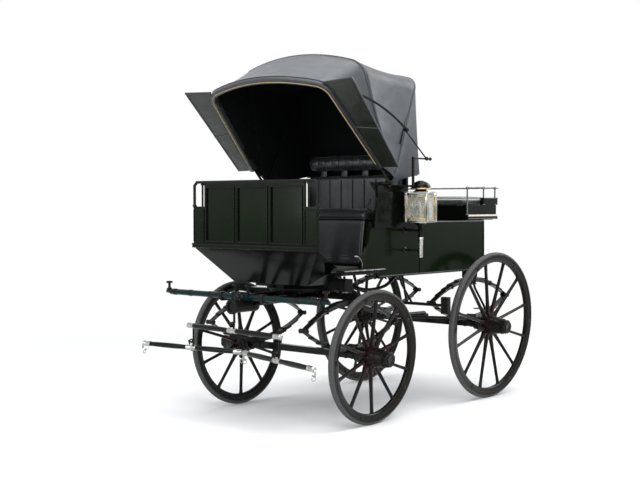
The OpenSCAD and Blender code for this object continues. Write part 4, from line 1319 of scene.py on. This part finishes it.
def build_lamp(s, side):
    m = lamp_matrix(s)
    h = LAMP_W / 2
    case = Shape()
    for sx in (-1, 1):
        for sy in (-1, 1):
            case.block(
                (sx * h - 0.009, sy * h - 0.009, -0.003), (sx * h + 0.009, sy * h + 0.009, LAMP_H + 0.003),
                0.0035, m,
            )
    for z0, z1, out in (
        (-0.006, 0.016, 0.004), (LAMP_H - 0.016, LAMP_H + 0.006, 0.004), (0.016, 0.022, 0.001),
        (LAMP_H - 0.022, LAMP_H - 0.016, 0.001),
    ):
        for a in range(4):
            turn = m @ Matrix.Rotation(math.pi / 2 * a, 4, "Z")
            case.block((h - 0.006, -h - out, z0), (h + out, h + out, z1), 0.002, turn)
    case.block((-h - 0.003, -h - 0.003, LAMP_H - 0.004), (h + 0.003, h + 0.003, LAMP_H + 0.009), 0.003, m)
    case.piece(f"lamp_case_{side}", NICKEL, "body", "lamp_nickel")

    brass = Shape()
    for a in range(4):
        turn = m @ Matrix.Rotation(math.pi / 2 * a, 4, "Z")
        for lo, hi in (((h - 0.003, -h + 0.010, 0.020), (h + 0.0035, -h + 0.016, LAMP_H - 0.020)),
        ((h - 0.003, h - 0.016, 0.020), (h + 0.0035, h - 0.010, LAMP_H - 0.020)),
                       ((h - 0.003, -h + 0.010, 0.020), (h + 0.0035, h - 0.010, 0.026)), ((h - 0.003,
                       -h + 0.010, LAMP_H - 0.026), (h + 0.0035, h - 0.010, LAMP_H - 0.020))):
            brass.block(lo, hi, 0.0012, turn)
    turned(
        brass, m,
        [
            (LAMP_H + 0.024, 0.038), (LAMP_H + 0.026, 0.069), (LAMP_H + 0.0285, 0.0715),
            (LAMP_H + 0.032, 0.0715), (LAMP_H + 0.0345, 0.069), (LAMP_H + 0.036, 0.040),
            (LAMP_H + 0.024, 0.038),
        ],
    )
    turned(
        brass, m,
        [
            (-0.009, 0.030), (-0.009, 0.046), (-0.006, 0.048), (-0.003, 0.046), (-0.003, 0.030),
            (-0.009, 0.030),
        ],
    )
    turned(
        brass, m,
        [
            (0.012, 0.014), (0.014, 0.020), (0.022, 0.022), (0.026, 0.015), (0.060, 0.014), (0.064, 0.018),
            (0.068, 0.014), (0.072, 0.006),
        ],
    )
    brass.piece(f"lamp_brass_{side}", BRASS, "body", "lamp_nickel")

    panes = Shape()
    for a in range(4):
        turn = m @ Matrix.Rotation(math.pi / 2 * a, 4, "Z")
        front = []
        for x, inset in ((h - 0.0065, 0.0), (h - 0.0045, 0.0), (h - 0.0025, 0.014), (h - 0.0025, 0.014)):
            front.append(
                [
                    turn @ Vector((x, yy, zz))
                    for yy, zz in (
                        (-h + 0.014 + inset, 0.020 + inset), (h - 0.014 - inset, 0.020 + inset),
                        (h - 0.014 - inset, LAMP_H - 0.020 - inset),
                        (-h + 0.014 + inset, LAMP_H - 0.020 - inset),
                    )
                ]
            )
        panes.rings(front[:3])
    glass = panes.piece(f"lamp_panes_{side}", GLASS, "body", "lamp_glass", smooth=False)

    mirror = Shape()
    mirror.block((-h + 0.016, -h + 0.020, 0.024), (-h + 0.019, h - 0.020, LAMP_H - 0.024), 0.001, m)
    mirror.block(
        (-h + 0.020, -s * h + (0.016 if s > 0 else -0.019), 0.024),
        (h - 0.020, -s * h + (0.019 if s > 0 else -0.016), LAMP_H - 0.024), 0.001, m,
    )
    mirror.piece(f"lamp_reflector_{side}", NICKEL, "body", "lamp_nickel")
    candle = Shape()
    turned(candle, m, [(0.070, 0.010), (0.110, 0.010), (0.114, 0.008), (0.116, 0.002), (0.124, 0.001)], 24)
    candle.piece(f"lamp_candle_{side}", CREAM, "body", "lamp_nickel")

    top = Shape()
    turned(
        top, m,
        [
            (LAMP_H + 0.006, 0.060), (LAMP_H + 0.012, 0.052), (LAMP_H + 0.018, 0.040),
            (LAMP_H + 0.030, 0.038), (LAMP_H + 0.0335, 0.040),
        ],
    )
    dome = [
        (LAMP_H + 0.0355, 0.060), (LAMP_H + 0.037, 0.0705), (LAMP_H + 0.042, 0.0700),
        (LAMP_H + 0.056, 0.064), (LAMP_H + 0.070, 0.050), (LAMP_H + 0.079, 0.032), (LAMP_H + 0.083, 0.019),
        (LAMP_H + 0.0855, 0.016), (LAMP_H + 0.086, 0.001),
    ]
    turned(top, m, dome)
    turned(top, m, [(-0.030, 0.020), (-0.024, 0.030), (-0.014, 0.040), (-0.009, 0.044)])
    turned(top, m, [(-0.110, 0.0155), (-0.105, 0.0175), (-0.032, 0.0175), (-0.028, 0.021)], 28)
    top.piece(f"lamp_black_{side}", BLACK, "body", "gloss_black")
    stem = Shape()
    turned(
        stem, m,
        [
            (-0.250, 0.004), (-0.2495, 0.012), (-0.246, 0.016), (-0.236, 0.0170), (-0.128, 0.0170),
            (-0.124, 0.0190), (-0.118, 0.0195), (-0.112, 0.0185), (-0.108, 0.0165),
        ],
        28,
    )
    stem.piece(f"lamp_stem_{side}", NICKEL, "body", "lamp_nickel")
    arms = Shape()
    for z, r in ((-0.060, 0.010), (-0.200, 0.008)):
        arms.tube(
            [at_axle(LAMP_X, s * (BODY_Y + 0.140 * t), LAMP_Z + z) for t in [k / 8 for k in range(9)]], r,
            12,
        )
        arms.lathe(
            at_axle(LAMP_X, s * BODY_Y, LAMP_Z + z), (0, s, 0),
            [(0, 0.022), (0.004, 0.022), (0.007, 0.018), (0.010, 0.012)], 20,
        )
    arms.piece(f"lamp_arms_{side}", IRON, "body", "iron_black")
    return glass


lamp_glasses = [build_lamp(s, side) for s, side in both_sides()]
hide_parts("lamps", "lamp_glass")


# ---------------------------------------------------------------- springs and running gear
def clip_set(shape, x, y, z, width, height, count=2, spread=0.050):
    """U-bolts round a pack of leaves at (x, y), with z at the pack's middle."""
    for k in range(count):
        dx = x + (k - (count - 1) / 2) * spread
        half = width / 2 + 0.007
        up = height / 2 + 0.006
        path = [
            (dx, y - half, z - up), (dx, y - half, z + up), (dx, y + half, z + up), (dx, y + half, z - up),
        ]
        shape.tube([at_axle(*p) for p in path], 0.0048, 8, wrap=True)
        for yy in (y - half, y + half):
            shape.lathe(
                at_axle(dx, yy, z - up - 0.002), (0, 0, -1), [(0, 0.009), (0.006, 0.009), (0.008, 0.006)],
                6,
            )


SPRING_ROWS = (
    ("front", "front_carriage", 0.0, 0.470, 0.140, 0.6471),
    ("rear", "body", -WHEELBASE, 0.500, 0.130, 0.7370),
)
for end, body, x0, length, rise, eye_z in SPRING_ROWS:
    clips = Shape()
    radius = (length**2 + rise**2) / (2 * rise)
    for s, side in both_sides():
        y = s * SPRING_Y
        for sign in (-1, 1):
            clip_set(clips, x0, y, eye_z + sign * (rise + 0.0175), 0.061, 0.041)
            for dx in (-0.26, 0.26):
                z = eye_z + sign * (rise - (radius - math.sqrt(radius**2 - dx**2)) + 0.011)
                clips.block(
                    at_axle(x0 + dx - 0.011, y - 0.0262, z - 0.017),
                    at_axle(x0 + dx + 0.011, y + 0.0262, z + 0.017), 0.002,
                )
        for sign in (-1, 1):
            for yy in (-0.030, 0.030):
                clips.lathe(
                    at_axle(x0 + sign * length, y + yy, eye_z), (0, 1 if yy > 0 else -1, 0),
                    [(-0.004, 0.017), (0.003, 0.017), (0.006, 0.013), (0.008, 0.008)], 6,
                )
    clips.piece(f"{end}_spring_clips", IRON, body, "iron_black")

# painted highlight: a thin bright steel line between the leaves, where the leaf edges catch the light
for end, body, x0, length, rise, eye_z in SPRING_ROWS:
    leaf_highlights = Shape()
    radius = (length**2 + rise**2) / (2 * rise)
    for s, side in both_sides():
        for sign in (-1, 1):
            for leaf in range(1, 5):
                reach = math.asin(length / radius) * (1 - leaf / 6)
                r = radius + leaf * 0.007
                for yy in (-0.0227, 0.0227):
                    path = []
                    for k in range(25):
                        a = -reach + 2 * reach * k / 24
                        path.append(
                            at_axle(
                                x0 + r * math.sin(a), s * SPRING_Y + yy,
                                eye_z + sign * (r * math.cos(a) - (radius - rise)),
                            )
                        )
                    leaf_highlights.tube(path, 0.0009, 4)
    leaf_highlights.piece(f"{end}_spring_leaf_highlights", STEEL, body, "iron_black")

gear = Shape()
for s, side in both_sides():
    # curved stays from the axle bed up to the body behind the front carriage
    gear.tube(
        [
            at_axle(*p)
            for p in bezier(
                [
                    (-0.245, s * 0.20, 0.905), (-0.36, s * 0.27, 0.86), (-0.50, s * 0.33, 0.88),
                    (-0.60, s * 0.36, 0.955),
                ],
                8,
            )
        ],
        0.011, 10, flat=1.5,
    )
    gear.lathe(
        at_axle(-0.60, s * 0.36, 0.952), (0, 0, -1), [(0, 0.026), (0.005, 0.026), (0.009, 0.016)], 16,
    )
gear.piece("body_stays", IRON, "body", "iron_black")

# fifth wheel: rub plate bolts
wheel_plate = Shape()
for k in range(12):
    a = 2 * math.pi * k / 12 + 0.13
    wheel_plate.lathe(
        at_axle(0.230 * math.cos(a), 0.230 * math.sin(a), 0.8661), (0, 0, -1),
        [(-0.001, 0.009), (0.005, 0.009), (0.007, 0.005)], 6,
    )
wheel_plate.piece("turntable_bolts", IRON, "front_carriage", "iron_black")

# clips on the futchells, and bands and fittings on the splinter bar
front_gear = Shape()
for s, side in both_sides():
    front_gear.block(
        at_axle(0.572, s * 0.190 - 0.017, 0.827), at_axle(0.618, s * 0.190 + 0.017, 0.8795), 0.004,
    )
    for y in (0.30, 0.50, 0.655):
        front_gear.lathe(
            at_axle(0.594, s * y, 0.8541), (0, 1, 0),
            [(-0.014, 0.0195), (-0.013, 0.0222), (0.013, 0.0222), (0.014, 0.0195)], 28,
        )
front_gear.piece("splinter_bar_bands", IRON, "front_carriage", "iron_black")
quatrefoil = Shape()
for dy, dz in ((0.026, 0.0), (-0.026, 0.0), (0.0, 0.020), (0.0, -0.020)):
    quatrefoil.lathe(
        at_axle(0.6195, dy, 0.852 + dz), (1, 0, 0),
        [(0, 0.020), (0.006, 0.020), (0.009, 0.014), (0.010, 0.004)], 24,
    )
quatrefoil.lathe(at_axle(0.626, 0, 0.852), (1, 0, 0), [(0, 0.012), (0.006, 0.011), (0.008, 0.005)], 6)
quatrefoil.piece("splinter_bar_plate", IRON, "front_carriage", "iron_black")
collars = Shape()
for y in (-0.727, -0.056, 0.056, 0.727):
    top = 0.9221 if abs(y) > 0.1 else 0.9341
    x = 0.588 if abs(y) > 0.1 else 0.594
    collars.lathe(
        at_axle(x, y, top - 0.008), (0, 0, 1),
        [
            (-0.004, 0.010), (-0.002, 0.0215), (0.002, 0.0232), (0.008, 0.0226), (0.0115, 0.018),
            (0.013, 0.004),
        ],
        28,
    )
    collars.lathe(
        at_axle(x, y, 0.8701), (0, 0, 1),
        [(-0.002, 0.020), (0.002, 0.0202), (0.006, 0.013), (0.012, 0.0105)], 24,
    )
collars.piece("roller_bolt_heads", IRON, "front_carriage", "iron_black")
socket_ring = Shape()
socket_ring.lathe(
    at_axle(0.697, 0, 0.7941), (1, 0, 0),
    [
        (-0.023, 0.0425), (-0.023, 0.0500), (-0.003, 0.0500), (0.001, 0.0480), (0.001, 0.0325),
        (-0.010, 0.0325),
    ],
    40,
)
socket_ring.piece("pole_socket_ring", IRON, "front_carriage", "iron_black")

# clips on the axle beds
for end, body, x0, z0 in (
    ("front", "front_carriage", 0.0, FRONT_HUB_Z), ("rear", "body", -WHEELBASE, REAR_HUB_Z),
):
    axle_trim = Shape()
    for s, side in both_sides():
        for y in (0.405, 0.463):
            axle_trim.block(
                at_axle(x0 - 0.0255, s * y - 0.007, z0 - 0.0255),
                at_axle(x0 + 0.0255, s * y + 0.007, z0 + 0.0255), 0.002,
            )
    axle_trim.piece(f"{end}_axle_clips", IRON, body, "iron_black")


# ---------------------------------------------------------------- lead bars
def ferrules(name, body, centre, yaw, length, z):
    matrix = Matrix.Translation(centre) @ Matrix.Rotation(yaw, 4, "Z")
    matrix.translation.z = z
    along = matrix.to_3x3() @ Vector((0, 1, 0))
    bright = Shape()
    end = [
        (-0.031, 0.0150), (-0.030, 0.0182), (-0.024, 0.0190), (-0.018, 0.0180), (0.018, 0.0176),
        (0.024, 0.0190), (0.030, 0.0186), (0.034, 0.0150), (0.038, 0.0080), (0.040, 0.001),
    ]
    for s in (-1, 1):
        bright.lathe(matrix @ Vector((0, s * length, 0)), along * s, end, 28)
    middle = [
        (-0.043, 0.0150), (-0.042, 0.0180), (-0.036, 0.0192), (-0.030, 0.0178), (0.030, 0.0178),
        (0.036, 0.0192), (0.042, 0.0180), (0.043, 0.0150),
    ]
    bright.lathe(matrix.translation, along, middle, 28)
    bright.lathe(
        matrix.translation, (0, 0, 1),
        [(0.014, 0.0125), (0.018, 0.0135), (0.0215, 0.0120), (0.0225, 0.004)], 6,
    )
    bright.piece(f"{name}_ferrules", NICKEL, body, "nickel")
    swell_part = Shape()
    profile = []
    for k in range(13):
        t = k / 12
        profile.append((length - 0.032 - (length - 0.076) * t, 0.0152 + 0.0030 * math.sin(math.pi * t)))
    for s in (-1, 1):
        swell_part.lathe(matrix.translation, along * s, profile, 24)
    swell_part.piece(f"{name}_swell", BLACK, body, "wheel_black")
    return matrix


main_centre = Vector(joints["main_bar_swing"]["pos_m"])
ferrules("main_bar", "main_bar", main_centre, math.radians(-6), 0.451, 0.636)
for side, yaw in (("left", -17), ("right", 7)):
    body = f"single_bar_{side}"
    m = ferrules(body, body, Vector(joints[f"{body}_swing"]["pos_m"]), math.radians(yaw), 0.405, 0.485)
    hooks = Shape()
    for s in (-1, 1):
        hooks.tube(
            [
                m @ Vector(p)
                for p in bezier(
                    [
                        (0, s * 0.431, 0.0), (0, s * 0.447, -0.006), (0, s * 0.4505, -0.022),
                        (0, s * 0.447, -0.038), (0, s * 0.432, -0.046), (0, s * 0.418, -0.040),
                    ],
                    6,
                )
            ],
            0.0056, 8,
        )
        ring = [
            m @ Vector((0.013 * math.cos(a), s * SPRING_Y, -0.058 + 0.013 * math.sin(a)))
            for a in (2 * math.pi * k / 20 for k in range(20))
        ]
        hooks.tube(ring, 0.0028, 6, wrap=True)
    hooks.piece(f"{body}_trace_hooks", NICKEL, body, "nickel")


# ---------------------------------------------------------------- the frame's own nodes
NODE_LOOKS = {
    "body_sides": (GREEN, 0.004),
    "rear_panel": (GREEN, 0.004),
    "floor": (BOARDS, 0.002),
    "boot_panel": (BLACK, 0.002),
    "dash": (GREEN, 0.0),
    "dash_rails": (IRON, 0.0),
    "seat_box": (BLACK, 0.004),
    "seat_sides": (BLACK, 0.004),
    "arm_irons": (IRON, 0.0),
    "groom_seat_box": (BLACK, 0.003),
    "groom_rails": (STEEL, 0.0),
    "steps": (IRON, 0.002),
    "lamps": (IRON, 0.001),
    "lamp_glass": (GLASS, 0.001),
    "rear_springs": (IRON, 0.001),
    "rear_axle": (BLACK, 0.002),
    "perch": (IRON, 0.0),
    "brake_gear": (IRON, 0.001),
    "rear_footboard": (BLACK, 0.002),
    "turntable_top": (IRON, 0.001),
    "hood_irons": (IRON, 0.001),
    "turntable_bottom": (BLACK, 0.001),
    "front_springs": (IRON, 0.001),
    "front_axle": (BLACK, 0.002),
    "futchells": (BLACK, 0.002),
    "splinter_bar": (TEAL, 0.0),
    "roller_bolts": (IRON, 0.0),
    "pole_socket": (IRON, 0.001),
    "rear_bow": (IRON, 0.002),
    "middle_bow": (IRON, 0.002),
    "front_bow": (IRON, 0.002),
    "hood_flaps": (GREEN, 0.001),
    "landau_lower_left": (IRON, 0.0),
    "landau_lower_right": (IRON, 0.0),
    "landau_upper_left": (IRON, 0.0),
    "landau_upper_right": (IRON, 0.0),
    "main_bar": (BLACK, 0.0),
    "single_bar_left": (BLACK, 0.0),
    "single_bar_right": (BLACK, 0.0),
}
for node_name, (look, edge) in NODE_LOOKS.items():
    node_piece = frame["nodes"][node_name]
    node_piece.data.materials.clear()
    node_piece.data.materials.append(look)
    if edge:
        rounding = node_piece.modifiers.new("soft edges", "BEVEL")
        rounding.width = edge
        rounding.segments = 2
        rounding.limit_method = "ANGLE"
        rounding.angle_limit = math.radians(40)


# ---------------------------------------------------------------- camera, world, floor and lamps
camera_data = bpy.data.cameras.new("camera")
camera_data.sensor_width = 36.0
camera_data.lens = 63.89
camera = bpy.data.objects.new("camera", camera_data)
bpy.context.scene.collection.objects.link(camera)
camera.location = (6.4079, 5.3109, 1.4643)
YAW, PITCH, ROLL = 0.7212, 0.0318, -0.0006
look_along = Vector((-math.cos(YAW) * math.cos(PITCH), -math.sin(YAW) * math.cos(PITCH), -math.sin(PITCH)))
camera.rotation_euler = (
    look_along.to_track_quat("-Z", "Y") @ Matrix.Rotation(ROLL, 3, "Z").to_quaternion()
).to_euler()
bpy.context.scene.camera = camera
bpy.context.scene.view_settings.view_transform = "Standard"


def seen_white(tree, shader_output, target):
    """Shows plain white to the camera and in mirrors, and the given shader to all other rays."""
    path = tree.nodes.new("ShaderNodeLightPath")
    glow = tree.nodes.new("ShaderNodeBackground")
    glow.inputs["Color"].default_value = (1.0, 1.0, 1.0, 1.0)
    glow.inputs["Strength"].default_value = 1.0
    either = tree.nodes.new("ShaderNodeMath")
    either.operation = "MAXIMUM"
    tree.links.new(path.outputs["Is Camera Ray"], either.inputs[0])
    tree.links.new(path.outputs["Is Transmission Ray"], either.inputs[1])
    all_three = tree.nodes.new("ShaderNodeMath")
    all_three.operation = "MAXIMUM"
    tree.links.new(either.outputs["Value"], all_three.inputs[0])
    tree.links.new(path.outputs["Is Glossy Ray"], all_three.inputs[1])
    mixer = tree.nodes.new("ShaderNodeMixShader")
    tree.links.new(all_three.outputs["Value"], mixer.inputs["Fac"])
    tree.links.new(shader_output, mixer.inputs[1])
    tree.links.new(glow.outputs[0], mixer.inputs[2])
    tree.links.new(mixer.outputs["Shader"], target)


world = bpy.data.worlds.new("studio")
bpy.context.scene.world = world
world.use_nodes = True
sky = world.node_tree.nodes["Background"]
sky.inputs["Color"].default_value = (0.92, 0.96, 1.0, 1.0)
sky.inputs["Strength"].default_value = 0.55
seen_white(
    world.node_tree, sky.outputs["Background"], world.node_tree.nodes["World Output"].inputs["Surface"],
)

floor_material, floor_tree, floor_shader = new_material("pale_floor")
floor_shader.inputs["Base Color"].default_value = (0.86, 0.86, 0.86, 1.0)
place_node = floor_tree.nodes.new("ShaderNodeTexCoord")
reach_node = floor_tree.nodes.new("ShaderNodeVectorMath")
reach_node.operation = "LENGTH"
floor_tree.links.new(place_node.outputs["Object"], reach_node.inputs[0])
far_node = floor_tree.nodes.new("ShaderNodeMapRange")
far_node.interpolation_type = "SMOOTHSTEP"
far_node.inputs["From Min"].default_value = 1.6
far_node.inputs["From Max"].default_value = 5.5
floor_tree.links.new(reach_node.outputs["Value"], far_node.inputs["Value"])
floor_path = floor_tree.nodes.new("ShaderNodeLightPath")
floor_seen = floor_tree.nodes.new("ShaderNodeMath")
floor_seen.operation = "MULTIPLY"
floor_tree.links.new(far_node.outputs["Result"], floor_seen.inputs[0])
floor_tree.links.new(floor_path.outputs["Is Camera Ray"], floor_seen.inputs[1])
floor_white = floor_tree.nodes.new("ShaderNodeEmission")
floor_white.inputs["Color"].default_value = (1.0, 1.0, 1.0, 1.0)
floor_white.inputs["Strength"].default_value = 1.0
floor_mix = floor_tree.nodes.new("ShaderNodeMixShader")
floor_tree.links.new(floor_seen.outputs["Value"], floor_mix.inputs["Fac"])
floor_tree.links.new(floor_shader.outputs["BSDF"], floor_mix.inputs[1])
floor_tree.links.new(floor_white.outputs[0], floor_mix.inputs[2])
floor_tree.links.new(floor_mix.outputs["Shader"], floor_tree.nodes["Material Output"].inputs["Surface"])
floor_shader.inputs["Roughness"].default_value = 0.9
floor_shader.inputs["Specular IOR Level"].default_value = 0.1
floor_mesh = bpy.data.meshes.new("studio_floor")
floor_mesh.from_pydata([(-60, -60, 0), (60, -60, 0), (60, 60, 0), (-60, 60, 0)], [], [(0, 1, 2, 3)])
floor_mesh.materials.append(floor_material)
studio_floor = bpy.data.objects.new("studio_floor", floor_mesh)
bpy.context.scene.collection.objects.link(studio_floor)
studio_floor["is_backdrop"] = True


def soft_lamp(name, place, aim, size, power, tint=(1, 1, 1)):
    data = bpy.data.lights.new(name, "AREA")
    data.shape = "RECTANGLE"
    data.size, data.size_y = size
    data.energy = power
    data.color = tint
    lamp = bpy.data.objects.new(name, data)
    bpy.context.scene.collection.objects.link(lamp)
    lamp.location = place
    lamp.rotation_euler = (Vector(aim) - Vector(place)).to_track_quat("-Z", "Y").to_euler()


soft_lamp("overhead", (0.5, 0.5, 6.5), (0.0, 0.0, 1.0), (6.0, 6.0), 420)
soft_lamp("key", (4.5, 5.5, 4.5), (0.0, 0.0, 1.2), (3.5, 3.5), 260)
soft_lamp("front_fill", (6.5, -2.5, 2.8), (0.3, 0.0, 1.0), (3.0, 3.0), 140, (0.93, 0.97, 1.0))
soft_lamp("rim", (-5.0, 2.5, 4.5), (0.0, 0.0, 1.2), (3.0, 3.0), 160)

low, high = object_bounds()
